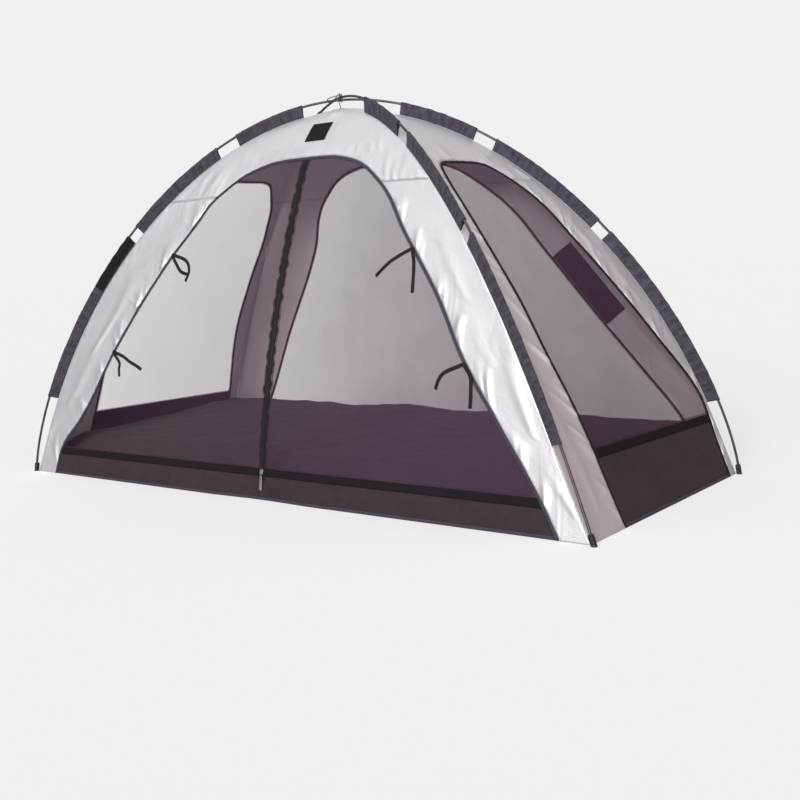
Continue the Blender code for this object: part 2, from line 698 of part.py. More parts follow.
def piping(wall, collection):
    """Round binding along the window's outline, from the base up and down again."""
    name = f"piping_{wall}"
    places = window_outline(wall)
    low = PIPING_RADIUS + GROUND_LIFT
    for near, far in ((0, 1), (-1, -2)):
        share = (low - places[near][1]) / (places[far][1] - places[near][1])
        places[near] = tuple(mix(a, b, share) for a, b in zip(places[near], places[far]))
    lift = SILVER_THICKNESS / 2
    points = [wall_at(wall, h, z) + wall_normal(wall, h, z) * lift for h, z in places]
    tube(name, points, PIPING_RADIUS, black_trim(name), collection, resolution=1)


def net(wall, collection):
    """Whole net of a window."""
    left, arch, right = split_outline(wall, offset_outline(wall, -PIPING_GAP))
    left, right = left[SKIRT_ROWS:], right[SKIRT_ROWS:]
    left[0] = (left[0][0], left[0][1] + SEAM_GAP / 2)
    right[0] = (right[0][0], right[0][1] + SEAM_GAP / 2)
    bottom = line_between(left[0], right[0], ARCH_COLUMNS)
    name = f"net_{wall}"
    wall_cloth(name, wall, filled(bottom, arch, left, right), dark_net(name), collection,
               NET_THICKNESS)


def door(side, collection):
    """Net half of the front window, from its outline to the zip."""
    left, arch, right = split_outline("front", offset_outline("front", -PIPING_GAP))
    outer, top = (left, arch) if side < 0 else (right, arch[::-1])
    outer = outer[SKIRT_ROWS:]
    outer[0] = (outer[0][0], outer[0][1] + SEAM_GAP / 2)
    half = ARCH_COLUMNS // 2
    top = top[:half + 1]
    share = (side * ZIP_HALF_GAP - top[-2][0]) / (top[-1][0] - top[-2][0])
    top[-1] = tuple(mix(a, b, share) for a, b in zip(top[-2], top[-1]))
    inner = line_between((side * ZIP_HALF_GAP, outer[0][1]), top[-1], len(outer) - 1)
    bottom = line_between(outer[0], inner[0], half)
    name = "door_left" if side < 0 else "door_right"
    wall_cloth(name, "front", filled(bottom, top, outer, inner), dark_net(name), collection,
               NET_THICKNESS)


def skirt(wall, collection):
    """Dark strip below a window; the front one is notched for the zip."""
    left, _, right = split_outline(wall, offset_outline(wall, -PIPING_GAP))
    rows = []
    for k in range(SKIRT_ROWS + 1):
        lower = SEAM_GAP / 2 if k == SKIRT_ROWS else 0.0
        start, end = (left[k][0], left[k][1] - lower), (right[k][0], right[k][1] - lower)
        if wall == "front":
            edges = ((-ZIP_HALF_GAP, start[1]), (ZIP_HALF_GAP, start[1]))
            row = line_between(start, edges[0], ARCH_COLUMNS // 2)
            row += line_between(edges[1], end, ARCH_COLUMNS // 2)
        else:
            row = line_between(start, end, ARCH_COLUMNS)
        rows.append(row)
    name = f"skirt_{wall}"
    points = [[wall_at(wall, *row[i]) for row in rows] for i in range(len(rows[0]))]
    sheet = grid_mesh(points)
    if wall == "front":
        notch = [face for face in sheet.faces if abs(face.calc_center_median().x) < ZIP_HALF_GAP
                 and face.calc_center_median().z > NOTCH_HEIGHT]
        bmesh.ops.delete(sheet, geom=notch, context="FACES")
    outwards = WALLS[wall][3]
    cloth(name, sheet, lambda centre: outwards, NET_THICKNESS, dark_fabric(name), collection)


def floor_height(y):
    return mix(FLOOR_FRONT_HEIGHT, FLOOR_BACK_HEIGHT, 0.5 + y / (2 * POLE_HALF_WIDTH))


def floor_sheet(collection):
    """Sheet over the bed: its hem follows the walls at the base, and it is open beneath."""
    last = len(FLOOR_RING_SHARES) - 1

    def edge(k, along, side_wall, axis):
        z = GROUND_LIFT + FLOOR_RING_SHARES[k] * (FLOOR_FRONT_HEIGHT - FLOOR_THICKNESS)
        ease = FLOOR_EASE + FLOOR_THICKNESS + FLOOR_EDGES[side_wall] * FLOOR_MARGIN_SHARES[k]
        face = wall_at(side_wall, along, z)[axis]
        return face - math.copysign(ease, face)

    def across(k, count, along, walls, axis):
        ring = min(k, count - k, last)
        low, high = edge(ring, along, walls[0], axis), edge(ring, along, walls[1], axis)
        if k <= last:
            return low
        if k >= count - last:
            return high
        return mix(low, high, (k - last) / (count - 2 * last))

    columns, rows = FLOOR_COLUMNS + 2 * last, FLOOR_ROWS + 2 * last
    points, mitre = [], []
    for i in range(columns + 1):
        column = []
        for j in range(rows + 1):
            x, y = 0.0, 0.0
            for _ in range(3):
                x = across(i, columns, y, ("left", "right"), 0)
                y = across(j, rows, x, ("front", "back"), 1)
            ring = min(i, columns - i, j, rows - j, last)
            top = floor_height(y) - FLOOR_THICKNESS
            column.append(Vector((x, y, GROUND_LIFT + FLOOR_RING_SHARES[ring] * top)))
            if min(i, columns - i) == min(j, rows - j) <= last:
                mitre.append(column[-1])
        points.append(column)
    name = "floor_sheet"
    sheet = grid_mesh(points)
    folds = [vert for vert in sheet.verts if any((vert.co - at).length < MERGE for at in mitre)]
    bmesh.ops.connect_verts(sheet, verts=folds)
    cloth(name, sheet, lambda centre: Vector((0.0, 0.0, 1.0)), FLOOR_THICKNESS,
          dark_fabric(name), collection)


def zip_angle(height):
    return math.asin((height - ZIP_CENTRE_Z) / ZIP_RADIUS)


def zip_frame(height):
    """Point of the zip's line at a height, with its outward and upward directions."""
    angle = zip_angle(height)
    out = Vector((0.0, -math.cos(angle), math.sin(angle)))
    up = Vector((0.0, math.sin(angle), math.cos(angle)))
    return Vector((0.0, ZIP_CENTRE_Y, ZIP_CENTRE_Z)) + out * ZIP_RADIUS, out, up


def along_zip(name, profile, low, high, steps, material, collection):
    """Solid of a profile (across, outwards) carried along the zip's arc."""
    start, out, _ = zip_frame(low)
    body = bmesh.new()
    verts = [body.verts.new(start + Vector((x, 0.0, 0.0)) + out * n) for x, n in profile]
    edges = [body.edges.new((a, b)) for a, b in zip(verts, verts[1:] + verts[:1])]
    bmesh.ops.spin(body, geom=verts + edges, cent=(0.0, ZIP_CENTRE_Y, ZIP_CENTRE_Z),
                   axis=(1.0, 0.0, 0.0), angle=zip_angle(low) - zip_angle(high), steps=steps)
    bmesh.ops.remove_doubles(body, verts=body.verts[:], dist=MERGE)
    bmesh.ops.holes_fill(body, edges=[edge for edge in body.edges if edge.is_boundary])
    bmesh.ops.recalc_face_normals(body, faces=body.faces[:])
    mesh = bpy.data.meshes.new(name)
    body.to_mesh(mesh)
    body.free()
    return new_object(name, mesh, material, collection)


def zip_tape(side, collection):
    inner = ZIP_SLOT / 2
    profile = ((inner, 0.0), (inner, TEETH_THICKNESS), (inner + TEETH_WIDTH, TEETH_THICKNESS),
               (inner + TEETH_WIDTH, TAPE_THICKNESS), (inner + TAPE_WIDTH, TAPE_THICKNESS),
               (inner + TAPE_WIDTH, 0.0))
    name = "zip_tape_left" if side < 0 else "zip_tape_right"
    along_zip(name, [(side * x, n) for x, n in profile], ZIP_BOTTOM, ZIP_TOP, ZIP_STEPS,
              black_trim(name), collection)


def moved_origin(thing, origin):
    """Put an object's origin on its joint's axis without moving its shape."""
    thing.data.transform(Matrix.Translation(-origin))
    thing.location = origin


def join_solid(thing, addition, guides):
    joined = thing.modifiers.new("joined", "BOOLEAN")
    joined.operation = "UNION"
    joined.object = addition
    addition.hide_render = True
    addition.display_type = "WIRE"
    for holder in list(addition.users_collection):
        holder.objects.unlink(addition)
    guides.objects.link(addition)


def slider(collection, guides):
    """Two plates joined by a web that runs in the slot, with a bail on each plate."""
    half, web = SLIDER_WIDTH / 2, SLIDER_WEB / 2
    front, back = SLIDER_FRONT - SLIDER_PLATE, SLIDER_BACK + SLIDER_PLATE
    half_profile = ((half, SLIDER_BACK), (half, back), (web, back), (web, front), (half, front),
                    (half, SLIDER_FRONT))
    profile = half_profile + tuple((-x, n) for x, n in reversed(half_profile))
    body = along_zip("slider", profile, SLIDER_HEIGHT - SLIDER_LENGTH / 2,
                     SLIDER_HEIGHT + SLIDER_LENGTH / 2, 1, metal("slider"), collection)
    point, out, up = zip_frame(SLIDER_HEIGHT)
    for side, face in ((1, SLIDER_FRONT), (-1, SLIDER_BACK)):
        sink = math.asin(SLIDER_PLATE / 2 / BAIL_RADIUS)
        wire = []
        for k in range(BAIL_STEPS + 1):
            angle = mix(-sink, math.pi + sink, k / BAIL_STEPS)
            wire.append(point + out * (face + side * BAIL_RADIUS * math.sin(angle))
                        + up * BAIL_RADIUS * math.cos(angle))
        bail = tube(f"bail_{side}", wire, BAIL_WIRE_RADIUS, body.data.materials[0], guides,
                    resolution=1)
        join_solid(body, as_mesh(bail), guides)
    moved_origin(body, Vector((0.0, ZIP_CENTRE_Y, ZIP_CENTRE_Z)))
    return body


def pull_outline(length, width):
    """Ring, neck and tab of a pull, with the pivot in the ring's top bar and the tab below."""
    centre = -(PULL_HOLE_RADIUS + PULL_RING_RADIUS) / 2
    neck = PULL_NECK / 2
    open_angle = math.asin(neck / PULL_RING_RADIUS)
    ring = []
    for k in range(RING_STEPS + 1):
        angle = mix(open_angle, 2 * math.pi - open_angle, k / RING_STEPS)
        ring.append((PULL_RING_RADIUS * math.sin(angle), centre - PULL_RING_RADIUS * math.cos(angle)))
    shoulder = centre - PULL_RING_RADIUS - PULL_NECK
    half, corner = width / 2, PULL_NECK / 2
    left = [(-neck, shoulder + corner), (-half, shoulder), (-half, corner - length),
            (corner - half, -length)]
    right = [(-x, y) for x, y in reversed(left)]
    hole = [(PULL_HOLE_RADIUS * math.cos(2 * math.pi * k / RING_STEPS),
             centre + PULL_HOLE_RADIUS * math.sin(2 * math.pi * k / RING_STEPS))
            for k in range(RING_STEPS)]
    return ring + left + right, hole


def pull(name, pivot, out, up, length, width, collection):
    """Flat metal pull that swings on its bail."""
    curve = bpy.data.curves.new(name, "CURVE")
    curve.dimensions = "2D"
    curve.fill_mode = "BOTH"
    curve.extrude = PULL_THICKNESS / 2
    for outline in pull_outline(length, width):
        line = curve.splines.new("POLY")
        line.points.add(len(outline) - 1)
        for k, (x, y) in enumerate(outline):
            line.points[k].co = (x, y, 0.0, 1.0)
        line.use_cyclic_u = True
    curve.materials.append(metal(name))
    thing = bpy.data.objects.new(name, curve)
    collection.objects.link(thing)
    side = up.cross(out)
    turned = Matrix((side, up, out)).transposed().to_4x4()
    thing.matrix_world = Matrix.Translation(pivot) @ turned
    bpy.context.view_layer.update()
    return as_mesh(thing)


def pulls(collection, holder):
    point, out, up = zip_frame(SLIDER_HEIGHT)
    outer = pull("pull_outer", point + out * (SLIDER_FRONT + PULL_PIVOT), out, up,
                 OUTER_PULL_LENGTH, OUTER_PULL_WIDTH, collection)
    inner = pull("pull_inner", point + out * (SLIDER_BACK - PULL_PIVOT), Vector((0.0, 1.0, 0.0)),
                 Vector((0.0, 0.0, 1.0)), INNER_PULL_LENGTH, INNER_PULL_WIDTH, collection)
    bpy.context.view_layer.update()
    for thing in (outer, inner):
        thing.parent = holder
        thing.matrix_parent_inverse = holder.matrix_world.inverted()


def beside_window(wall, side, height, distance):
    """Place in a wall, beside the window's side at a height."""
    axis = WALLS[wall][2]
    step = POLE_RADIUS
    here = wall_at(wall, window_edge(wall, side, height), height)
    run = wall_at(wall, window_edge(wall, side, height + step), height + step) - here
    across = wall_normal(wall, here[axis], height).cross(run).normalized()
    if across[axis] * side < 0.0:
        across.negate()
    point = here + across * distance
    return point[axis], point.z


def pocket(wall, side, collection):
    """Pocket sewn inside a band on three sides, with its mouth at the top."""
    columns = []
    for i in range(POCKET_COLUMNS + 1):
        column = []
        for j in range(POCKET_ROWS + 1):
            u, v = i / POCKET_COLUMNS, j / POCKET_ROWS
            height = CROWN_HEIGHT * mix(POCKET_BOTTOM_SHARE, POCKET_TOP_SHARE, v)
            h, z = beside_window(wall, side, height, POCKET_INSET + POCKET_WIDTH * u)
            bulge = POCKET_BULGE * math.sin(math.pi * u) * math.sin(math.pi / 2 * v)
            inwards = SEAM_GAP + NET_THICKNESS + bulge
            column.append(wall_at(wall, h, z) - wall_normal(wall, h, z) * inwards)
        columns.append(column)
    name = f"pocket_{wall}"
    outwards = WALLS[wall][3]
    cloth(name, grid_mesh(columns), lambda centre: outwards, NET_THICKNESS,
          black_trim(name), collection)


def patch(collection):
    """Bare patch sewn on the front of the crown."""
    columns = []
    for i in range(PATCH_STEPS + 1):
        h = mix(-PATCH_WIDTH / 2, PATCH_WIDTH / 2, i / PATCH_STEPS)
        columns.append([(h, CROWN_HEIGHT * mix(PATCH_BOTTOM_SHARE, PATCH_TOP_SHARE, j / PATCH_STEPS))
                        for j in range(PATCH_STEPS + 1)])
    wall_cloth("patch", "front", columns, black_trim("patch"), collection, PATCH_THICKNESS,
               PATCH_LIFT)


def smooth_route(route):
    """Curve through the points of a route, which keeps their order and its ends."""
    points = [Vector(place) for place in route]
    ends = [points[0] * 2 - points[1], *points, points[-1] * 2 - points[-2]]
    curve = []
    for a, b, c, d in zip(ends, ends[1:], ends[2:], ends[3:]):
        for k in range(ROUTE_STEPS):
            t = k / ROUTE_STEPS
            curve.append((b * 2 + (c - a) * t + (a * 2 - b * 5 + c * 4 - d) * t ** 2
                          + (b * 3 - a - c * 3 + d) * t ** 3) / 2)
    return curve + [points[-1]]


def tie(name, collection):
    """Ribbon along its route, folded over at the window's edge and flat along its tails."""
    line = smooth_route(TIE_ROUTES[name])
    width = wall_normal("front", line[0].x, line[0].z).cross(line[1] - line[0])
    columns = [[], []]
    for k, point in enumerate(line):
        run = (line[min(k + 1, len(line) - 1)] - line[max(k - 1, 0)]).normalized()
        width = (width - run * width.dot(run)).normalized()
        flat = wall_normal("front", point.x, point.z).cross(run)
        width = (width + flat * math.copysign(TIE_EASE, flat.dot(width))).normalized()
        for side, column in zip((-1, 1), columns):
            column.append(point + width * (side * TIE_WIDTH / 2))
    start = line[1] - line[0]
    outwards = start.cross(columns[1][0] - columns[0][0])
    first = line[0]

    def away(centre):
        return outwards if (centre - first).length < TIE_WIDTH else Vector((0.0, 0.0, 0.0))

    cloth(name, grid_mesh(columns), away, TIE_THICKNESS, black_trim(name), collection)


def cup(corner, collection):
    """Turned cup on a pole's tip, cut flat where it stands."""
    path = [pole_point(corner, t) for t in half_stations(corner)[0][:2]]
    axis = (path[1] - path[0]).normalized()
    bore = POLE_RADIUS + TOUCH_GAP
    profile = ((0.0, -CUP_RADIUS), (CUP_RADIUS, -CUP_RADIUS), (CUP_RADIUS, CUP_DEPTH),
               (bore, CUP_DEPTH), (bore, CUP_FLOOR), (0.0, CUP_FLOOR))
    body = bmesh.new()
    verts = [body.verts.new((r, 0.0, z)) for r, z in profile]
    edges = [body.edges.new(pair) for pair in zip(verts, verts[1:])]
    bmesh.ops.spin(body, geom=verts + edges, cent=(0.0, 0.0, 0.0), axis=(0.0, 0.0, 1.0),
                   angle=2 * math.pi, steps=CUP_SIDES, use_merge=True)
    bmesh.ops.remove_doubles(body, verts=body.verts[:], dist=MERGE)
    turned = Vector((0.0, 0.0, 1.0)).rotation_difference(axis).to_matrix().to_4x4()
    bmesh.ops.transform(body, matrix=Matrix.Translation(path[0]) @ turned, verts=body.verts[:])
    bmesh.ops.bisect_plane(body, geom=body.verts[:] + body.edges[:] + body.faces[:],
                           plane_co=(0.0, 0.0, 0.0), plane_no=(0.0, 0.0, 1.0), clear_inner=True)
    bmesh.ops.holes_fill(body, edges=[edge for edge in body.edges if edge.is_boundary])
    bmesh.ops.recalc_face_normals(body, faces=body.faces[:])
    name = f"cup_{corner}"
    mesh = bpy.data.meshes.new(name)
    body.to_mesh(mesh)
    body.free()
    new_object(name, mesh, black_trim(name), collection)


def main():
    for thing in list(bpy.data.objects):
        bpy.data.objects.remove(thing)
    tent = bpy.data.collections.new("mosquito_net_tent")
    bpy.context.scene.collection.children.link(tent)
    guides = bpy.data.collections.new("guides")
    bpy.context.scene.collection.children.link(guides)
    pole("pole_lower", "front_left", "back_right", black_trim("pole_lower"), tent)
    pole("pole_upper", "back_left", "front_right", black_trim("pole_upper"), tent)
    for corner in CORNERS:
        sleeves(corner, tent)
    for wall in WALLS:
        bands(wall, tent)
        skirt(wall, tent)
        piping(wall, tent)
    crown(tent)
    for wall in ("back", "left", "right"):
        net(wall, tent)
    for side in (-1, 1):
        door(side, tent)
        zip_tape(side, tent)
    floor_sheet(tent)
    pulls(tent, slider(tent, guides))
    pocket("back", 1, tent)
    pocket("front", -1, tent)
    patch(tent)
    for name in TIE_ROUTES:
        tie(name, tent)
    tube("crossing_cord", smooth_route(CORD_ROUTE), CORD_RADIUS, black_trim("crossing_cord"), tent,
         resolution=1)
    for corner in CORNERS:
        cup(corner, tent)


main()
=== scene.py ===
"""Looks of a dome-shaped mosquito net tent: cloth, nets, bindings, zip, poles, light and camera.

Metres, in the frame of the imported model: +X along the base, +Y to the back, +Z up. Every sheet is
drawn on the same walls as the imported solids, only finer, and then gets its own folds.
"""
import math

import bmesh
import bpy
import numpy as np
from mathutils import Matrix, Vector


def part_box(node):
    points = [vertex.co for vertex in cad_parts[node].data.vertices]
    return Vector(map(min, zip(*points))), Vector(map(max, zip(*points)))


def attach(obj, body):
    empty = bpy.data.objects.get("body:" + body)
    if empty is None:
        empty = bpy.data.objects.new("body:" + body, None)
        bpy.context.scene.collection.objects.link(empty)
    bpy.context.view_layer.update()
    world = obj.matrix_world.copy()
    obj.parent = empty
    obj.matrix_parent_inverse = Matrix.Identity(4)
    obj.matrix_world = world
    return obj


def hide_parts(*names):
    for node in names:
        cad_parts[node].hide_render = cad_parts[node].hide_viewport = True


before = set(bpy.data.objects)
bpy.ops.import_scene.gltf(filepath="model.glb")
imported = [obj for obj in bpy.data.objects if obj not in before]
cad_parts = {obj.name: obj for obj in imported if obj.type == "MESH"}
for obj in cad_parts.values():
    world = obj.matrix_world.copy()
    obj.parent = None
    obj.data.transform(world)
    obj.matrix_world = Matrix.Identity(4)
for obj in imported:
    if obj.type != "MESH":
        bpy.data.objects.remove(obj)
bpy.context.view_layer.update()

# Fit
TOUCH_GAP = 0.0003
SEAM_GAP = 0.0004
EDGE_GAP = 0.0006
GROUND_LIFT = 0.0005
MERGE = 0.00001

# Poles
POLE_HALF_LENGTH = 1.000
POLE_HALF_WIDTH = 0.420
POLE_RADIUS = 0.0035
LOWER_POLE_HEIGHT = 1.092
SPREAD_POWERS = {"lower": 1.06, "upper": 1.07}
RISE_POWERS = {"lower": 1.375, "upper": 1.93}
POLE_HEIGHTS = {"lower": LOWER_POLE_HEIGHT, "upper": LOWER_POLE_HEIGHT + 2 * POLE_RADIUS + TOUCH_GAP}
FERRULE_RADIUS = 0.0042
FERRULE_LENGTH = 0.030
CUP_RADIUS = 0.0075
CUP_DEPTH = 0.026
CUP_FLOOR = 0.0035
CUP_BORE = POLE_RADIUS + TOUCH_GAP
CUP_PROFILE = ((0.0, -0.0075), (0.0062, -0.0075), (0.0072, -0.0060), (0.0074, 0.0040), (0.0068, 0.0046),
               (0.0068, 0.0056), (0.0074, 0.0062), (0.0074, 0.0105), (0.0068, 0.0111), (0.0068, 0.0121),
               (0.0074, 0.0127), (0.0074, 0.0205), (0.0066, 0.0212), (0.0066, 0.0222), (0.0072, 0.0230),
               (0.0070, 0.0252), (0.0060, 0.0260), (CUP_BORE + 0.0004, 0.0260), (CUP_BORE, 0.0255),
               (CUP_BORE, CUP_FLOOR), (0.0, CUP_FLOOR))

# Fabric
SILVER_THICKNESS = 0.0009
NET_THICKNESS = 0.0003
DARK_THICKNESS = 0.0008
SLEEVE_THICKNESS = 0.0006
STRIP_THICKNESS = 0.0004
HEM_THICKNESS = 0.0005
POCKET_THICKNESS = 0.0009
PATCH_THICKNESS = 0.0006
RIBBON_THICKNESS = 0.0006
FLOOR_THICKNESS = 0.0010
DEFAULT_SLACK = 0.45
DEFAULT_LEAN = -1.0
CROWN_HEIGHT = LOWER_POLE_HEIGHT - 0.032
CAP_SEAM_SHARE = 0.778
CROWN_PEAK = 0.008
SLEEVE_DEPTH = 0.034
SEAM_RISE = 0.080
SLEEVE_BORE = FERRULE_RADIUS + SEAM_GAP
SLEEVE_NAMES = ("low", "middle", "top")
SLEEVE_END_SHARES = ((0.187, 0.616), (0.6475, 0.865), (0.895, 0.977))
FRONT_LEFT_SLEEVE_END_SHARES = ((0.220, 0.668), (0.696, 0.894), (0.925, 0.989))
BARE_STRIP_SHARES = (0.532, 0.668)

# Windows
PIPING_GAP = 0.003 + EDGE_GAP
BINDING_PROFILE = ((-3.3, -0.5), (-3.4, 1.15), (-3.9, 1.25), (-3.9, 1.75), (-2.8, 2.1), (0.0, 2.25),
                   (2.8, 2.1), (3.9, 1.75), (3.9, 1.25), (3.4, 1.15), (3.3, -0.5), (0.0, -0.85),
                   (-3.3, -0.5))
SIDE_SKIRT_HEIGHT = 0.085
END_SKIRT_HEIGHT = 0.170
SIDE_ARCH_POWER = 3.3
END_ARCH_POWER = 8.0
SHOULDER_SHARES = {"front": 0.8264, "back": 0.8236, "left": 0.807, "right": 0.811}
ARCH_SHARES = {"front": 0.8642, "back": 0.862, "left": 0.8368, "right": 0.8264}
END_FRONT_EDGE_SHARES = ((0.0, 0.60), (0.15, 0.60), (0.232, 0.614), (0.375, 0.67), (0.483, 0.683),
                         (0.594, 0.715), (0.687, 0.72), (0.774, 0.674), (0.811, 0.61))
WINDOW_EDGE_SHARES = {
    "front_left": ((0.0, 0.91), (0.09, 0.904), (0.161, 0.85), (0.366, 0.775), (0.55, 0.71),
                   (0.63, 0.679), (0.722, 0.637), (0.77, 0.629), (0.8264, 0.545)),
    "front_right": ((0.0, 0.92), (0.053, 0.915), (0.225, 0.857), (0.352, 0.804), (0.513, 0.771),
                    (0.658, 0.705), (0.779, 0.649), (0.8264, 0.574)),
    "back_left": ((0.0, 0.86), (0.128, 0.811), (0.375, 0.736), (0.631, 0.619), (0.778, 0.573),
                  (0.8236, 0.49)),
    "back_right": ((0.0, 0.93), (0.158, 0.898), (0.258, 0.847), (0.409, 0.776), (0.597, 0.719),
                   (0.743, 0.694), (0.8236, 0.62)),
    "left_front": END_FRONT_EDGE_SHARES,
    "right_front": END_FRONT_EDGE_SHARES,
    "left_back": ((0.0, 0.90), (0.126, 0.90), (0.412, 0.835), (0.55, 0.87), (0.70, 0.90),
                  (0.774, 0.82), (0.807, 0.70)),
    "right_back": ((0.0, 0.90), (0.10, 0.92), (0.22, 0.95), (0.351, 0.80), (0.465, 0.70),
                   (0.613, 0.61), (0.764, 0.567), (0.811, 0.45)),
}
BAND_SLACKS = {"band_front_left": 0.8, "band_front_right": 0.3}
FOLD_LEANS = {"band_front_left": -0.35, "band_front_right": -1.7}
BAND_COLUMNS = 60
BASE_ROWS = 16
WINDOW_ROWS = 150
SHOULDER_ROWS = 10
ARCH_COLUMNS = 72
CORNER_ROUNDS = 900
CORNER_STEPS = 120
WANDER_VALUES = 512
NET_FOLDS = 16
FLOOR_LONG_FOLDS = 40
FLOOR_EDGE_FOLDS = 26
SLOPE_STEPS = 200
CAP_ROWS = 44
CAP_WING_COLUMNS = 26

# Floor sheet
FLOOR_FRONT_HEIGHT = 0.106
FLOOR_BACK_HEIGHT = 0.156
FLOOR_RING_SHARES = (0.0, 0.35, 0.65, 0.88, 1.0)
FLOOR_MARGIN_SHARES = (0.0, 0.16, 0.42, 0.70, 1.0)
FLOOR_EDGES = {"front": 0.090, "back": 0.045, "left": 0.055, "right": 0.055}
FLOOR_CLEARANCE = 0.0012
FLOOR_EASE = 0.003 + SEAM_GAP + FLOOR_CLEARANCE

# Zip
ZIP_BOTTOM = 0.053
ZIP_TOP = ARCH_SHARES["front"] * CROWN_HEIGHT - PIPING_GAP
ZIP_CENTRE_Y, ZIP_CENTRE_Z, ZIP_RADIUS = 2.7923473, -0.3752304, 3.2225329
ZIP_BLEND_WIDTH = 0.200
ZIP_FADE_HEIGHT = 0.050
ZIP_SLOT = 0.0012
TAPE_WIDTH = 0.012
ZIP_HALF_GAP = ZIP_SLOT / 2 + TAPE_WIDTH + SEAM_GAP
TOOTH_PITCH = 0.0026
TAPE_COLUMNS = (0.0006, 0.0014, 0.0024, 0.0034, 0.0042, 0.0052, 0.0062, 0.0074, 0.0086, 0.0098, 0.0110,
                0.0120, 0.0126)
TAPE_THICKNESS = 0.0006
ZIP_ROWS = 361
TOOTH_INSET = 0.004
STOP_SIZE = (0.0030, 0.0014)

# Pockets, patch, ties and cord
POCKET_WIDTH = 0.076
POCKET_BOTTOM_SHARE = 0.39
POCKET_TOP_SHARE = 0.575
POCKET_BULGE = 0.020
POCKET_INSET = 0.005
PATCH_WIDTH = 0.072
PATCH_BOTTOM_SHARE = 0.912
PATCH_TOP_SHARE = 0.961
TIE_WIDTH = 0.010
TIE_EASE = 0.5
ROUTE_STEPS = 4
CORD_RADIUS = 0.0012
TIE_ROUTES = {
    "tie_front_left_upper": (8, (
        (-0.3759, -0.2985, 0.5881), (-0.3668, -0.2956, 0.6047), (-0.3648, -0.2908, 0.6207),
        (-0.3779, -0.2833, 0.6413), (-0.3999, -0.2794, 0.6542), (-0.4393, -0.2768, 0.6649),
        (-0.4470, -0.2761, 0.6670), (-0.4519, -0.2762, 0.6688), (-0.4525, -0.2772, 0.6695),
        (-0.4518, -0.2785, 0.6695), (-0.4481, -0.2801, 0.6662), (-0.4412, -0.2825, 0.6589),
        (-0.4218, -0.2882, 0.6380), (-0.4038, -0.2922, 0.6197), (-0.3879, -0.2929, 0.6124),
        (-0.3699, -0.2926, 0.6081),
    )),
    "tie_front_left_lower": (7, (
        (-0.5189, -0.3630, 0.3328), (-0.5449, -0.3618, 0.3439), (-0.5749, -0.3601, 0.3549),
        (-0.6049, -0.3578, 0.3689), (-0.6447, -0.3552, 0.3804), (-0.6524, -0.3547, 0.3826),
        (-0.6572, -0.3550, 0.3844), (-0.6579, -0.3561, 0.3850), (-0.6572, -0.3573, 0.3849),
        (-0.6531, -0.3585, 0.3818), (-0.6456, -0.3600, 0.3752), (-0.6189, -0.3642, 0.3514),
        (-0.6199, -0.3666, 0.3331), (-0.6179, -0.3692, 0.3097),
    )),
    "tie_front_right_upper": (7, (
        (0.3271, -0.2812, 0.5842), (0.3451, -0.2772, 0.6006), (0.3661, -0.2709, 0.6187),
        (0.3921, -0.2643, 0.6334), (0.4190, -0.2584, 0.6460), (0.4262, -0.2569, 0.6494),
        (0.4301, -0.2564, 0.6521), (0.4304, -0.2573, 0.6530), (0.4302, -0.2586, 0.6528),
        (0.4312, -0.2607, 0.6484), (0.4346, -0.2641, 0.6391), (0.4412, -0.2699, 0.6202),
        (0.4446, -0.2767, 0.5947), (0.4466, -0.2842, 0.5675), (0.4481, -0.2913, 0.5401),
    )),
    "tie_front_right_lower": (7, (
        (0.5501, -0.3500, 0.3099), (0.5561, -0.3468, 0.3293), (0.5681, -0.3422, 0.3473),
        (0.5921, -0.3378, 0.3591), (0.6152, -0.3349, 0.3671), (0.6228, -0.3339, 0.3696),
        (0.6268, -0.3338, 0.3718), (0.6269, -0.3349, 0.3725), (0.6268, -0.3361, 0.3724),
        (0.6289, -0.3377, 0.3686), (0.6348, -0.3399, 0.3605), (0.6481, -0.3437, 0.3417),
        (0.6511, -0.3479, 0.3194), (0.6526, -0.3529, 0.2952), (0.6531, -0.3578, 0.2699),
    )),
}
CORD_ROUTE = (
    (-0.0034, 0.0000, 1.0696), (-0.0034, 0.0000, 1.0735), (-0.0034, -0.0040, 1.0800),
    (-0.0034, -0.0068, 1.0885), (-0.0032, -0.0070, 1.0955), (-0.0030, -0.0050, 1.1025),
    (-0.0024, 0.0000, 1.1048), (-0.0016, 0.0050, 1.1025), (-0.0010, 0.0070, 1.0955),
    (-0.0006, 0.0068, 1.0900), (-0.0002, 0.0040, 1.0868), (0.0002, 0.0000, 1.0858),
    (0.0006, -0.0040, 1.0868), (0.0010, -0.0068, 1.0900), (0.0013, -0.0070, 1.0955),
    (0.0016, -0.0050, 1.1025), (0.0024, 0.0000, 1.1048), (0.0010, 0.0030, 1.1075),
    (-0.0030, 0.0040, 1.1085), (-0.0090, 0.0020, 1.1075), (-0.0180, -0.0030, 1.1050),
    (-0.0280, -0.0100, 1.1020), (-0.0340, -0.0160, 1.0985), (-0.0350, -0.0215, 1.0940),
    (-0.0280, -0.0225, 1.0910), (-0.0180, -0.0200, 1.0915), (-0.0090, -0.0165, 1.0955),
    (-0.0030, -0.0145, 1.1010), (0.0020, -0.0125, 1.1060), (0.0060, -0.0110, 1.1100),
)

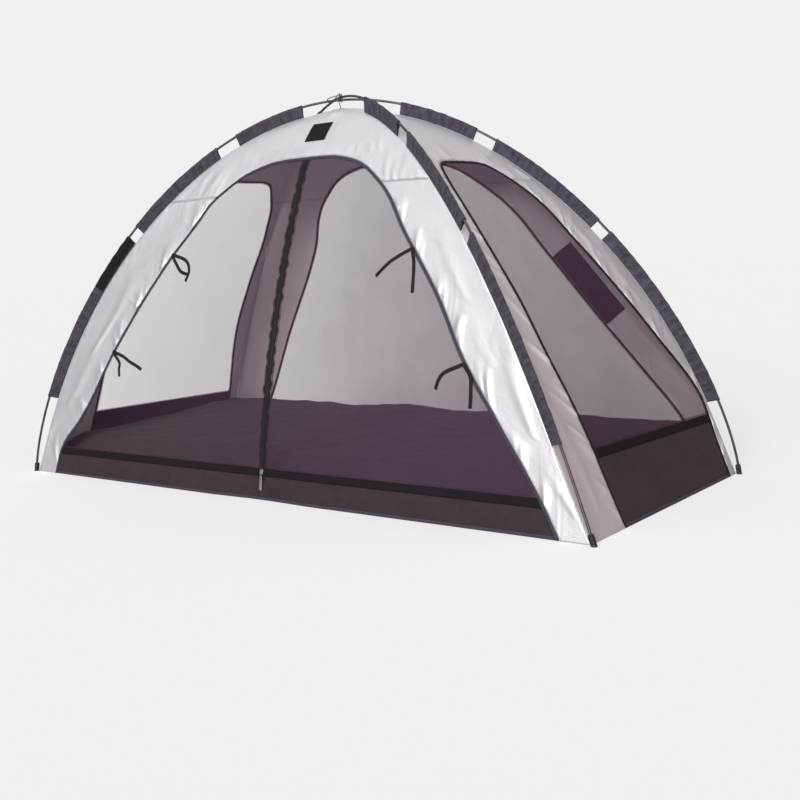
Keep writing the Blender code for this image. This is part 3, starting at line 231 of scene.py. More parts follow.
CORNERS = {
    "front_left": (-1, -1, "lower"),
    "back_right": (1, 1, "lower"),
    "front_right": (1, -1, "upper"),
    "back_left": (-1, 1, "upper"),
}
WALLS = {
    "front": ("front_left", "front_right", 0),
    "back": ("back_left", "back_right", 0),
    "left": ("front_left", "back_left", 1),
    "right": ("front_right", "back_right", 1),
}
OUTWARDS = {
    "front": np.array((0.0, -1.0, 0.0)),
    "back": np.array((0.0, 1.0, 0.0)),
    "left": np.array((-1.0, 0.0, 0.0)),
    "right": np.array((1.0, 0.0, 0.0)),
}
UP = np.array((0.0, 0.0, 1.0))
POLE_ENDS = {"lower": ("front_left", "back_right"), "upper": ("back_left", "front_right")}
HALF_DIAGONAL = math.hypot(POLE_HALF_LENGTH, POLE_HALF_WIDTH)

# Camera of the photograph, in pixels of its 800 by 800 frame
PHOTO_SIZE = 800
CAMERA_PLACE = (2.089, -2.446, 0.622)
CAMERA_YAW, CAMERA_PITCH, CAMERA_ROLL = 0.6452, 0.0750, -0.0444
FOCAL_PIXELS = 1093.04
CENTRE_X, CENTRE_Y = 420.41, 341.57
SENSOR = 36.0

# Studio: strengths and colours of the sky, key and floor
BACKGROUND = 0.871
SKY_LEVEL = 0.56
SKY_GLOSS = 0.79
LEFT_SKY = (0.06, 0.055, 0.08)
BACK_SKY = (0.24, 0.13, 0.12)
KEY_STRENGTH = 1.85
KEY_FROM = (0.20, -0.91, 0.37)
KEY_SPREAD = 24.0
FLOOR_COLOUR = 0.50
SKY_SHARE = 0.773
FLOOR_LIGHT = SKY_LEVEL * SKY_SHARE + KEY_STRENGTH * KEY_FROM[2] / math.pi
FLOOR_GLOW = BACKGROUND - FLOOR_COLOUR * FLOOR_LIGHT
FLOOR_SIZE = 120.0

# Weaves
TWILL_PITCH = 0.0010
SILVER_PITCH = 0.0011
RIPSTOP_PITCH = 0.006
NET_PITCH = 0.0014


def mix(a, b, share):
    return a + (b - a) * share


def eased(share):
    share = np.clip(share, 0.0, 1.0)
    return share * share * (3.0 - 2.0 * share)


def spans(line):
    """Distance along a line to each of its points."""
    return np.concatenate([[0.0], np.cumsum(np.linalg.norm(np.diff(line, axis=0), axis=1))])


def unit(vectors):
    return vectors / np.maximum(np.linalg.norm(vectors, axis=-1, keepdims=True), 1e-12)


# Camera


def place_camera():
    sin_yaw, cos_yaw = math.sin(CAMERA_YAW), math.cos(CAMERA_YAW)
    cos_pitch = math.cos(CAMERA_PITCH)
    ahead = Vector((-sin_yaw * cos_pitch, cos_yaw * cos_pitch, -math.sin(CAMERA_PITCH)))
    level = Vector((cos_yaw, sin_yaw, 0.0))
    upright = level.cross(ahead)
    right = level * math.cos(CAMERA_ROLL) + upright * math.sin(CAMERA_ROLL)
    up = upright * math.cos(CAMERA_ROLL) - level * math.sin(CAMERA_ROLL)
    lens = bpy.data.cameras.new("photo_view")
    lens.sensor_width = SENSOR
    lens.lens = FOCAL_PIXELS * SENSOR / PHOTO_SIZE
    lens.shift_x = (PHOTO_SIZE / 2 - CENTRE_X) / PHOTO_SIZE
    lens.shift_y = (CENTRE_Y - PHOTO_SIZE / 2) / PHOTO_SIZE
    camera = bpy.data.objects.new("photo_view", lens)
    bpy.context.scene.collection.objects.link(camera)
    turned = Matrix((right, up, -ahead)).transposed().to_4x4()
    camera.matrix_world = Matrix.Translation(CAMERA_PLACE) @ turned
    bpy.context.scene.camera = camera


# Finishes


class Wire:
    """A shader value: arithmetic on it adds Math nodes to its tree."""

    def __init__(self, nodes, socket):
        self.nodes, self.socket = nodes, socket

    def math(self, operation, *others):
        return self.nodes.node("Math", {"operation": operation}, dict(enumerate((self, *others))))

    def clipped(self):
        """The value, held between 0 and 1."""
        return self.math("MAXIMUM", 0.0).math("MINIMUM", 1.0)

    def __add__(self, other):
        return self.math("ADD", other)

    def __sub__(self, other):
        return self.math("SUBTRACT", other)

    def __rsub__(self, other):
        return self.nodes.node("Math", {"operation": "SUBTRACT"}, {0: other, 1: self})

    def __mul__(self, other):
        return self.math("MULTIPLY", other)

    def __truediv__(self, other):
        return self.math("DIVIDE", other)

    def __gt__(self, other):
        return self.math("GREATER_THAN", other)

    def __lt__(self, other):
        return self.math("LESS_THAN", other)

    __radd__, __rmul__ = __add__, __mul__


class Nodes:
    """A node tree that makes and links its nodes in one call each."""

    def __init__(self, tree):
        self.tree = tree

    def node(self, kind, settings=None, sockets=None, outlet=0):
        made = self.tree.nodes.new("ShaderNode" + kind)
        for label, value in (settings or {}).items():
            setattr(made, label, value)
        for label, value in (sockets or {}).items():
            if isinstance(value, Wire):
                self.tree.links.new(value.socket, made.inputs[label])
            else:
                made.inputs[label].default_value = value
        return Wire(self, made.outputs[outlet])

    def axes(self, vector):
        return [self.node("SeparateXYZ", sockets={0: vector}, outlet=k) for k in range(3)]

    def colour(self, share, first, second):
        sockets = {0: share, 6: self.paint(first), 7: self.paint(second)}
        return self.node("Mix", {"data_type": "RGBA"}, sockets, outlet=2)

    def paint(self, colour):
        return colour if isinstance(colour, Wire) else (*colour, 1.0)

    def rays(self, *kinds):
        """1 for rays of these kinds, 0 for the rest."""
        first, *others = [self.node("LightPath", outlet=f"Is {kind} Ray") for kind in kinds]
        for other in others:
            first = first.math("MAXIMUM", other)
        return first


class Finish(Nodes):
    """A piece's material: its shader's constant values, and the nodes that vary the rest."""

    def __init__(self, name, **constants):
        self.material = bpy.data.materials.new(name)
        self.material.use_nodes = True
        super().__init__(self.material.node_tree)
        self.shader = self.tree.nodes["Principled BSDF"]
        for label, value in constants.items():
            inlet = label.replace("_", " ").title().replace("Ior", "IOR")
            self.shader.inputs[inlet].default_value = value

    def place(self):
        return self.node("TexCoord", outlet="Object")

    def cloth_map(self):
        return self.node("UVMap", {"uv_map": "cloth"})

    def mark(self, name):
        return self.node("Attribute", {"attribute_name": name}, outlet="Fac")

    def noise(self, place, scale, detail=3.0, roughness=0.55, stretch=None):
        if stretch:
            place = self.node("Mapping", sockets={"Vector": place, "Scale": stretch})
        return self.node("TexNoise", sockets={"Vector": place, "Scale": scale, "Detail": detail,
                                              "Roughness": roughness})

    def threads(self, across, along, pitch):
        """Plain weave: two sets of threads that pass over and under each other."""
        turn = 2 * math.pi / pitch
        return (across * turn).math("SINE") * (along * turn).math("SINE")

    def grid(self, across, along, pitch, share):
        """Square grid of lines, each as wide as its share of the pitch: 1 on a line, 0 beside it."""
        level = (along / pitch).math("FRACT") < share
        return ((across / pitch).math("FRACT") < share).math("MAXIMUM", level)

    def stitches(self, distance, along, inset, pitch=0.0034, width=0.0007):
        """Row of stitches at an inset from an edge: 1 on the thread, 0 beside it."""
        row = (distance - inset).math("ABSOLUTE") < width
        return row * ((along / pitch).math("FRACT") < 0.68)

    def gathers(self, distance, along, slant, pitch, reach, seed):
        """Folds that run in from a sewn edge at a slant, in groups, each of another length."""
        row = (along + distance * slant) / pitch
        group = self.noise(self.node("CombineXYZ", sockets={0: row * 0.13, 1: seed}), 1.0, 1.0)
        length = ((group - 0.40) * 4.5).clipped()
        place = self.node("CombineXYZ", sockets={0: row, 1: distance * 8.0, 2: seed})
        fold = self.noise(place, 0.9, 1.0)
        fade = (1.0 - distance / (length * reach + 0.004)).math("MAXIMUM", 0.0)
        return ((fold - 0.40) * 3.0).math("MAXIMUM", 0.0) * fade

    def feed(self, label, wire):
        self.tree.links.new(wire.socket, self.shader.inputs[label])

    def done(self, colour, roughness, *layers):
        """The material, with its colour, its roughness and its bumps fed."""
        self.feed("Base Color", colour)
        self.feed("Roughness", roughness)
        self.relief(*layers)
        return self.material

    def relief(self, *layers):
        """Bump from layers of (height, depth in metres), coarsest first."""
        normal = None
        for height, depth in layers:
            sockets = {"Height": height, "Distance": depth, "Strength": 1.0}
            if normal:
                sockets["Normal"] = normal
            normal = self.node("Bump", sockets=sockets)
        self.feed("Normal", normal)


def silver_cloth(name, light, dark, metallic=0.70):
    """Silver-coated nylon: folds from its sewn edges, ripstop weave, stitched rows inside them."""
    finish = Finish(name, metallic=metallic, sheen_weight=0.05, sheen_roughness=0.4)
    lay = finish.cloth_map()
    u, v, _ = finish.axes(lay)
    edge, seam, row, drop = [finish.mark(mark) for mark in ("edge", "seam", "row", "drop")]
    cloud = finish.noise(lay, 6.0, 2.0)
    crinkle = finish.noise(lay, 30.0, 3.0, 0.5)
    fine = finish.noise(lay, 260.0, 2.0)
    slack = finish.mark("slack")
    gathers = finish.gathers(edge, row, -1.4, 0.0055, 0.110, 1.7) * slack
    falls = finish.gathers(drop, u, 0.45, 0.0050, 0.120, 5.3) * slack
    pulls = finish.gathers(seam, row, 1.3, 0.0060, 0.050, 9.1) * slack
    threads = finish.threads(u, v, SILVER_PITCH)
    ripstop = finish.grid(u, v, RIPSTOP_PITCH, 0.12)
    stitch = finish.stitches(edge, row, 0.0045).math("MAXIMUM", finish.stitches(seam, row, 0.0075))
    # Painted highlight: the cloth within 12 mm of the pole seam is painted lighter, standing in for
    # light on the flat hem there.
    hem = (seam < 0.012) * 0.4
    shade = finish.colour((cloud * 0.7 + crinkle * 0.3 - hem).math("MAXIMUM", 0.0), light, dark)
    shade = finish.colour(stitch * 0.4, shade, [c * 0.5 for c in dark])
    return finish.done(shade, 0.40 + crinkle * 0.10 + fine * 0.05, (crinkle, 0.0008),
                       (gathers, 0.0005), (falls, 0.0005), (pulls, 0.0004), (fine, 0.00012),
                       (ripstop + threads * 0.5, 0.00003), (stitch, 0.0003))


def dark_cloth(name, light, dark, sheen=0.25, crinkle_depth=0.002, gathered=False):
    """Dark nylon: twill weave with a soft sheen, and stitched rows beside its edges."""
    finish = Finish(name, sheen_weight=sheen, sheen_roughness=0.45, specular_ior_level=0.1)
    lay = finish.cloth_map()
    u, v, _ = finish.axes(lay)
    edge = finish.mark("edge")
    cloud = finish.noise(lay, 9.0, 3.0)
    crinkle = finish.noise(lay, 42.0, 5.0, 0.6)
    fuzz = finish.noise(lay, 700.0, 1.0)
    twill = ((u + v) / TWILL_PITCH).math("FRACT") * 0.6 + finish.threads(u, v, TWILL_PITCH) * 0.4
    stitch = finish.stitches(edge, u + v, 0.005)
    tone = cloud * 0.7 + crinkle * 0.5 - 0.1
    layers = [(crinkle, crinkle_depth), (twill, 0.00009), (stitch, 0.0004)]
    if gathered:
        slant = finish.node("Mapping", sockets={"Vector": lay, "Rotation": (0.0, 0.0, 0.95),
                                                "Scale": (0.34, 1.2, 1.0)})
        # Pleats of a gathered cloth: bumps, and also painted highlight on their crests and painted
        # shade in their hollows, since their height lightens and darkens the colour.
        pleat_relief_and_shade = (finish.noise(slant, 72.0, 2.0) - 0.5) * 1.7
        tone = tone + pleat_relief_and_shade
        layers.insert(1, (pleat_relief_and_shade, 0.0030))
    shade = finish.colour(tone.math("MAXIMUM", 0.0), dark, light)
    shade = finish.colour(stitch * 0.7, shade, [c * 1.9 for c in light])
    return finish.done(shade, 0.62 + fuzz * 0.18 - crinkle * 0.1, *layers)


def net_cloth(name, low_cover, high_cover):
    """Fine mosquito net: open mesh, so most of it is clear, and folds make it denser; painted shade
    also makes it denser, so darker, where its shade mark is high.
    """
    finish = Finish(name, roughness=0.7, specular_ior_level=0.1)
    lay = finish.cloth_map()
    u, v, _ = finish.axes(lay)
    threads = 1.0 - finish.grid(u, v, NET_PITCH, 0.3)
    cloud = finish.noise(lay, 5.0, 2.0)
    streak = finish.noise(lay, 26.0, 2.0, 0.5, (1.0, 0.22, 1.0))
    # Painted shade: the shade mark raises the cover, so the dark net hides more of what is behind it.
    cover = low_cover + finish.mark("shade_cover") * (high_cover - low_cover)
    cover = cover * (0.82 + cloud * 0.26 + streak * 0.14)
    hem = (finish.mark("edge") < 0.004) * 0.3
    finish.feed("Alpha", (cover * (1.2 - threads * 0.4) + hem).math("MINIMUM", 1.0))
    finish.feed("Base Color", finish.colour(cloud, (0.160, 0.085, 0.145), (0.110, 0.058, 0.100)))
    finish.relief((streak, 0.0012), (threads, 0.0001))
    return finish.material


def binding_tape(name, light, dark):
    """Ribbed binding, folded over the window's edge and stitched along both sides."""
    finish = Finish(name, sheen_weight=0.04, specular_ior_level=0.2)
    lay = finish.cloth_map()
    u, v, _ = finish.axes(lay)
    ribs = ((v / 0.0016).math("FRACT") - 0.5).math("ABSOLUTE") * 2.0
    pucker = finish.noise(lay, 120.0, 2.0, 0.5, (0.4, 1.0, 1.0))
    stitch = finish.stitches((u - 0.0045).math("ABSOLUTE"), v, 0.0026)
    shade = finish.colour(pucker * 0.8 + ribs * 0.15, dark, light)
    shade = finish.colour(stitch * 0.6, shade, [c * 1.7 for c in light])
    return finish.done(shade, 0.55 + pucker * 0.2, (pucker, 0.0012), (ribs, 0.00015),
                       (stitch, 0.0004))


def zip_webbing(name):
    """Woven zip tape: herringbone with two raised cords."""
    finish = Finish(name, sheen_weight=0.02, specular_ior_level=0.2)
    lay = finish.cloth_map()
    u, v, _ = finish.axes(lay)
    side = ((u / 0.003).math("PINGPONG", 1.0)) * 0.003
    chevron = ((side + v) / 0.0011).math("FRACT")
    cords = ((0.0062, 0.0005), (0.0104, 0.0004))
    first, second = [(u - place).math("ABSOLUTE") < half for place, half in cords]
    rows = first.math("MAXIMUM", second)
    dust = finish.noise(lay, 160.0, 3.0)
    shade = finish.colour(chevron * 0.5 + dust * 0.5, (0.006, 0.005, 0.006), (0.022, 0.018, 0.022))
    shade = finish.colour(rows * ((v / 0.003).math("FRACT") < 0.7) * 0.55, shade, (0.12, 0.11, 0.12))
    return finish.done(shade, 0.6 + dust * 0.25, (chevron, 0.00018), (rows, 0.0003))


def nylon_teeth(name):
    finish = Finish(name, specular_ior_level=0.5)
    place = finish.place()
    worn = finish.noise(place, 420.0, 3.0)
    return finish.done(finish.colour(worn, (0.012, 0.011, 0.013), (0.045, 0.042, 0.046)),
                       0.28 + worn * 0.2, (worn, 0.0001))


def plated_metal(name):
    """Nickel-plated zinc: fine brushing, a few darker handling marks."""
    finish = Finish(name, metallic=1.0)
    place = finish.place()
    brushed = finish.noise(place, 900.0, 2.0, 0.5, (1.0, 1.0, 0.08))
    marks = finish.noise(place, 260.0, 4.0, 0.7)
    return finish.done(finish.colour(marks * 0.8, (0.70, 0.70, 0.71), (0.40, 0.39, 0.40)),
                       0.20 + marks * 0.22 + brushed * 0.06, (brushed, 0.00003), (marks, 0.00004))


def pole_coating(name):
    """Black coated rod: long grain of the wound glass under a satin coat, with brownish-grey patches of
    painted highlight, also rougher, in places.
    """
    finish = Finish(name, coat_weight=0.3, coat_roughness=0.25)
    place = finish.place()
    grain = finish.noise(place, 700.0, 2.0)
    painted_highlight = finish.noise(place, 30.0, 4.0, 0.65)
    # Painted highlight: random patches are painted a lighter brownish grey, standing in for light on
    # the coat.
    shade = finish.colour(painted_highlight * 1.5 - 0.45, (0.026, 0.022, 0.024), (0.15, 0.125, 0.115))
    return finish.done(shade, 0.32 + painted_highlight * 0.2, (grain, 0.00006))


def moulded_plastic(name):
    """Black moulded plastic with a fine spark-eroded grain, scuffed where it stands."""
    finish = Finish(name, specular_ior_level=0.45)
    place = finish.place()
    _, _, height = finish.axes(place)
    grain = finish.noise(place, 1600.0, 2.0)
    scuff = finish.noise(place, 180.0, 4.0, 0.7) * (height < 0.004)
    return finish.done(finish.colour(scuff, (0.018, 0.017, 0.019), (0.11, 0.105, 0.10)),
                       0.45 + grain * 0.15 + scuff * 0.2, (grain, 0.00008))


def braided_cord(name):
    finish = Finish(name, sheen_weight=0.3)
    place = finish.place()
    strands = finish.node("TexWave", {"wave_type": "BANDS", "bands_direction": "DIAGONAL"},
                          {"Vector": place, "Scale": 420.0, "Distortion": 2.0})
    return finish.done(finish.colour(strands, (0.012, 0.011, 0.013), (0.06, 0.055, 0.06)),
                       0.7 + strands * 0.15, (strands, 0.0002))


FINISHES = {name: make(name, *values) for name, make, *values in (
    ("silver_outer", silver_cloth, (0.93, 0.915, 0.95), (0.85, 0.83, 0.875)),
    # Inner face: uncoated and barely metallic; its colour is set lighter as painted light, to make up
    # for the dim light inside the tent.
    ("silver_inner", silver_cloth, (0.96, 0.87, 0.93), (0.88, 0.79, 0.85), 0.05),
    ("sleeve_cloth", dark_cloth, (0.115, 0.098, 0.130), (0.040, 0.033, 0.046), 0.10, 0.0030, True),
    ("skirt_cloth", dark_cloth, (0.070, 0.050, 0.062), (0.034, 0.024, 0.030), 0.05),
    ("floor_cloth", dark_cloth, (0.086, 0.074, 0.078), (0.041, 0.036, 0.038), 0.05, 0.003),
    ("black_cloth", dark_cloth, (0.022, 0.017, 0.021), (0.012, 0.009, 0.011), 0.0, 0.0008),
    ("pocket_cloth", dark_cloth, (0.016, 0.010, 0.012), (0.009, 0.006, 0.007), 0.0, 0.0012),
    ("net", net_cloth, 0.075, 0.325),
    ("front_binding", binding_tape, (0.085, 0.078, 0.108), (0.040, 0.036, 0.050)),
    ("black_binding", binding_tape, (0.028, 0.018, 0.025), (0.009, 0.005, 0.008)),
    ("zip_webbing", zip_webbing),
    ("nylon_teeth", nylon_teeth),
    ("plated_metal", plated_metal),
    ("pole_coating", pole_coating),
    ("moulded_plastic", moulded_plastic),
    ("braided_cord", braided_cord),
)}


# Walls of the tent, for whole tables of places at once


def smooth_share(points, places):
    """Smooth curve through a short table of shares."""
    xs, ys = np.array(points).T
    slopes = np.gradient(ys, xs)
    k = np.clip(np.searchsorted(xs, places) - 1, 0, len(xs) - 2)
    width = xs[k + 1] - xs[k]
    s = np.clip((places - xs[k]) / width, 0.0, 1.0)
    start = (1 + 2 * s) * (1 - s) ** 2 * ys[k] + s * (1 - s) ** 2 * width * slopes[k]
    return start + s * s * (3 - 2 * s) * ys[k + 1] + s * s * (s - 1) * width * slopes[k + 1]


def bent(corner, reach, heights):
    side_x, side_y, _ = CORNERS[corner]
    reach, heights = np.broadcast_arrays(reach, heights)
    return np.stack([side_x * POLE_HALF_LENGTH * reach, side_y * POLE_HALF_WIDTH * reach, heights], -1)


def pole_points(corner, turns):
    """Points of the pole's centre line: turn is 0 at the foot and pi/2 at the crossing."""
    pole = CORNERS[corner][2]
    reach = np.maximum(np.cos(turns), 0.0) ** SPREAD_POWERS[pole]
    return bent(corner, reach, POLE_HEIGHTS[pole] * np.sin(turns) ** RISE_POWERS[pole])


def turn_at_share(corner, shares):
    return np.arcsin(np.clip(shares, 0.0, 1.0) ** (1.0 / RISE_POWERS[CORNERS[corner][2]]))


def foot_inset(corner):
    low = pole_points(corner, turn_at_share(corner, CUP_DEPTH / LOWER_POLE_HEIGHT))
    lean = pole_points(corner, 0.0) - low
    return CUP_RADIUS * np.linalg.norm(lean) / abs(lean[2]) + 0.0012 + 2 * SEAM_GAP


FOOT_INSETS = {corner: foot_inset(corner) for corner in CORNERS}


def seam_points(corner, heights):
    """Points of the seam under a pole, at heights above the base."""
    turns = turn_at_share(corner, heights / CROWN_HEIGHT)
    inset = mix(FOOT_INSETS[corner], SLEEVE_DEPTH, 1.0 - np.exp(-heights / SEAM_RISE))
    power = SPREAD_POWERS[CORNERS[corner][2]]
    reach = (1.0 - inset / HALF_DIAGONAL) * np.maximum(np.cos(turns), 0.0) ** power
    return bent(corner, reach, heights)


def onto_zip(wall, points, start, end, heights):
    """Draw the middle of the front wall onto the zip's arc."""
    if wall != "front":
        return points
    near = np.maximum(1.0 - (points[..., 0] / ZIP_BLEND_WIDTH) ** 2, 0.0) ** 2
    near = near * (1.0 - eased((heights - ZIP_TOP) / ZIP_FADE_HEIGHT))
    gap = np.where(np.abs(end[..., 0] - start[..., 0]) > 1e-9, end[..., 0] - start[..., 0], 1.0)
    bare = start[..., 1] - (end[..., 1] - start[..., 1]) * start[..., 0] / gap
    arc = ZIP_CENTRE_Y - np.sqrt(ZIP_RADIUS ** 2 - (heights - ZIP_CENTRE_Z) ** 2)
    points[..., 1] += near * (arc - bare)
    return points


def wall_by_share(wall, shares, heights):
    first, second = WALLS[wall][:2]
    start, end = seam_points(first, heights), seam_points(second, heights)
    points = start + (end - start) * np.asarray(shares)[..., None]
    return onto_zip(wall, points, start, end, heights)


def share_along(wall, along, heights):
    first, second, axis = WALLS[wall]
    start, end = seam_points(first, heights)[..., axis], seam_points(second, heights)[..., axis]
    return (along - start) / (end - start)


def wall_at(wall, along, heights):
    along, heights = np.broadcast_arrays(np.asarray(along, float), np.asarray(heights, float))
    return wall_by_share(wall, share_along(wall, along, heights), heights)


def wall_normals(wall, along, heights):
    """Unit normals of a wall, outwards."""
    step = POLE_RADIUS
    level = wall_at(wall, along + step, heights) - wall_at(wall, along - step, heights)
    rise = wall_at(wall, along, heights + step) - wall_at(wall, along, np.maximum(heights - step, 0.0))
    normals = unit(np.cross(level, rise))
    return normals * np.where(normals @ OUTWARDS[wall] < 0.0, -1.0, 1.0)[..., None]


def slope_length(wall, heights):
    """Length up the middle of a wall to each height."""
    steps = np.linspace(0.0, CROWN_HEIGHT, SLOPE_STEPS)
    middle = wall_by_share(wall, np.full(SLOPE_STEPS, 0.5), steps)
    return np.interp(heights, steps, spans(middle))


def is_side(wall):
    return wall in ("front", "back")


def window_sizes(wall):
    """Skirt height, shoulder height, arch height and how square the arch is."""
    side = is_side(wall)
    skirt = SIDE_SKIRT_HEIGHT if side else END_SKIRT_HEIGHT
    power = SIDE_ARCH_POWER if side else END_ARCH_POWER
    return skirt, SHOULDER_SHARES[wall] * CROWN_HEIGHT, ARCH_SHARES[wall] * CROWN_HEIGHT, power


def window_edge(wall, side, heights):
    corner = WALLS[wall][0 if side < 0 else 1]
    shares = WINDOW_EDGE_SHARES[f"{wall}_{corner.replace(wall, '').strip('_')}"]
    reach = seam_points(corner, heights)[..., WALLS[wall][2]]
    return smooth_share(shares, heights / CROWN_HEIGHT) * reach


def side_heights(wall):
    skirt, shoulder = window_sizes(wall)[:2]
    seam = CAP_SEAM_SHARE * CROWN_HEIGHT
    return np.concatenate([np.linspace(GROUND_LIFT, skirt, BASE_ROWS + 1)[:-1],
                           np.linspace(skirt, seam, WINDOW_ROWS + 1)[:-1],
                           np.linspace(seam, shoulder, SHOULDER_ROWS + 1)])


SKIRT_ROW = BASE_ROWS
SEAM_ROW = BASE_ROWS + WINDOW_ROWS


def round_off(along, level):
    """Round a window's two upper corners, between the cap seams and the middle of the arch."""
    places = np.stack([along, level], -1)
    reach = SHOULDER_ROWS + ARCH_COLUMNS // 3
    for start in (SEAM_ROW, len(level) - 1 - SEAM_ROW - reach):
        part = places[start:start + reach + 1]
        run = spans(part)
        even = np.linspace(0.0, run[-1], CORNER_STEPS)
        line = np.stack([np.interp(even, run, part[:, k]) for k in (0, 1)], -1)
        for _ in range(CORNER_ROUNDS):
            line[1:-1] += 0.5 * (0.5 * (line[:-2] + line[2:]) - line[1:-1])
        part[:] = np.stack([np.interp(run, even, line[:, k]) for k in (0, 1)], -1)
    along[:], level[:] = places.T


def window_lines(wall, distance=0.0):
    """First side, arch and second side of a window, both sides from the base up, moved outwards."""
    skirt, shoulder, top, power = window_sizes(wall)
    axis = WALLS[wall][2]
    heights = side_heights(wall)
    first, second = window_edge(wall, -1, heights), window_edge(wall, 1, heights)
    f = np.sin(math.pi * (np.arange(1, ARCH_COLUMNS) / ARCH_COLUMNS - 0.5))
    arch = mix(first[-1], second[-1], (f + 1.0) / 2.0), mix(shoulder, top, 1.0 - np.abs(f) ** power)
    along = np.concatenate([first, arch[0], second[::-1]])
    level = np.concatenate([heights, arch[1], heights[::-1]])
    round_off(along, level)
    if distance:
        points = wall_at(wall, along, level)
        runs = unit(np.diff(points, axis=0))
        before, after = np.vstack([runs[:1], runs]), np.vstack([runs, runs[-1:]])
        run = unit(before + after)
        across = unit(np.cross(wall_normals(wall, along, level), run))
        middle = wall_at(wall, np.zeros(len(level)), np.minimum(level, skirt)) - points
        across *= np.where(np.sum(across * middle, -1) > 0.0, -1.0, 1.0)[:, None]
        moved = points + across * (distance / np.sum(run * before, -1))[:, None]
        for k in (0, -1):
            moved[k] = points[k]
            moved[k, axis] += distance / across[k, axis]
        along, level = moved[:, axis], moved[:, 2]
    places = np.stack([along, level], -1)
    rows = len(heights)
    return places[:rows], places[rows - 1:len(places) - rows + 1], places[-rows:][::-1]


def filled(bottom, top, first, second):
    """Places of a patch between four boundary lines, as a table of columns."""
    u = np.linspace(0.0, 1.0, len(bottom))[:, None, None]
    v = np.linspace(0.0, 1.0, len(first))[None, :, None]
    level = mix(bottom[:, None], top[:, None], v) + mix(first[None], second[None], u)
    corners = mix(mix(bottom[0], bottom[-1], u), mix(top[0], top[-1], u), v)
    return level - corners


def refined(line):
    """Line with one more point in the middle of each of its steps."""
    finer = np.repeat(line, 2, axis=0)[:-1]
    finer[1::2] = (line[:-1] + line[1:]) / 2
    return finer


def line_between(start, end, steps):
    return mix(np.asarray(start), np.asarray(end), np.linspace(0.0, 1.0, steps + 1)[:, None])


# Folds


def creases(u, v, folds):
    """Height of the cloth above its flat place, from folds (u, v, angle, length, width, height)."""
    rise = np.zeros_like(u)
    for u0, v0, angle, length, width, height in folds:
        along = ((u - u0) * math.cos(angle) + (v - v0) * math.sin(angle)) / length
        across = (v - v0) * math.cos(angle) - (u - u0) * math.sin(angle)
        across = across + 0.12 * length * along ** 2
        share = np.clip(along, 0.0, 1.0)
        spread = width * (0.55 + 0.9 * share)
        rise += height * np.sin(math.pi * share ** 0.55) * np.exp(-(across / spread) ** 2)
    return rise


def ripples(u, v, seed, pitch, count=14, stretch=1.0):
    """Soft random unevenness of about one unit, whose waves are about pitch long."""
    rng = np.random.default_rng(seed)
    total = np.zeros_like(u)
    for _ in range(count):
        angle, phase = rng.uniform(0, math.pi), rng.uniform(0, 2 * math.pi)
        turn = 2 * math.pi / (pitch * rng.uniform(0.7, 1.6))
        total += np.sin(turn * (u * math.cos(angle) + v * stretch * math.sin(angle)) + phase)
    return total / math.sqrt(count / 2)


def random_fold(rng, *ranges):
    """Fold whose place, angle in degrees, length, width and height are drawn from ranges in turn."""
    u0, v0, angle, *sizes = [rng.uniform(*bounds) for bounds in ranges]
    return (u0, v0, math.radians(angle), *sizes)


def folds_from_edge(seed, spots, lean, length, width, height):
    """Folds that start at spots (u, v), at angles about lean, each size a range."""
    rng = np.random.default_rng(seed)
    folds = []
    for u0, v0 in spots:
        angle = math.radians(rng.uniform(*lean))
        folds.append((u0, v0, angle, rng.uniform(*length), rng.uniform(*width), rng.uniform(*height)))
    return folds


def wander(places, seed):
    """Smooth random line between 0 and 1, with a new value at each whole place."""
    table = np.random.default_rng(seed).random(WANDER_VALUES)
    k = np.floor(places).astype(int)
    return mix(table[k % WANDER_VALUES], table[(k + 1) % WANDER_VALUES], eased(places - k))


def gathered(distance, along, slant, pitch, reach, seed):
    """Share of full height in folds that run in from a sewn edge, in groups of different lengths."""
    row = (along + distance * slant) / pitch + wander(distance / 0.07, seed)
    length = np.clip(wander(row * 0.16, seed + 1) * 1.9 - 0.4, 0.0, 1.0)
    fade = np.clip(1.0 - distance / (length * reach + 0.004), 0.0, 1.0)
    return np.clip(wander(row, seed + 2) * 1.5 - 0.35, 0.0, 1.0) * fade


# Making sheets


def grid_sheet(points, lay, marks):
    """Sheet whose vertices are a table of points, with its cloth map and its marks."""
    columns, rows = points.shape[0] - 1, points.shape[1] - 1
    sheet = bmesh.new()
    bmesh.ops.create_grid(sheet, x_segments=columns, y_segments=rows, size=0.5)
    cloth_map = sheet.loops.layers.uv.new("cloth")
    layers = {name: sheet.verts.layers.float.new(name) for name in marks}
    places = {}
    for vert in sheet.verts:
        place = (round((vert.co.x + 0.5) * columns), round((vert.co.y + 0.5) * rows))
        places[vert] = place
        vert.co = points[place]
        for name, layer in layers.items():
            vert[layer] = marks[name][place]
    for face in sheet.faces:
        face.smooth = True
        for loop in face.loops:
            loop[cloth_map].uv = lay[places[loop.vert]]
    return sheet


def face_outwards(sheet, facing):
    """Turn a sheet's faces towards a direction, or towards one that depends on the place."""
    sheet.normal_update()
    fixed = None if callable(facing) else Vector(facing)
    lean = sum(face.normal.dot(facing(face.calc_center_median()) if fixed is None else fixed)
               for face in sheet.faces)
    if lean < 0.0:
        bmesh.ops.reverse_faces(sheet, faces=sheet.faces[:])


def cut_flat(shape, height):
    """Cut off what is below a height and close the cuts."""
    bmesh.ops.bisect_plane(shape, geom=shape.verts[:] + shape.edges[:] + shape.faces[:],
                           plane_co=(0.0, 0.0, height), plane_no=(0.0, 0.0, 1.0), clear_inner=True)
    bmesh.ops.holes_fill(shape, edges=[edge for edge in shape.edges if edge.is_boundary])
    bmesh.ops.recalc_face_normals(shape, faces=shape.faces[:])


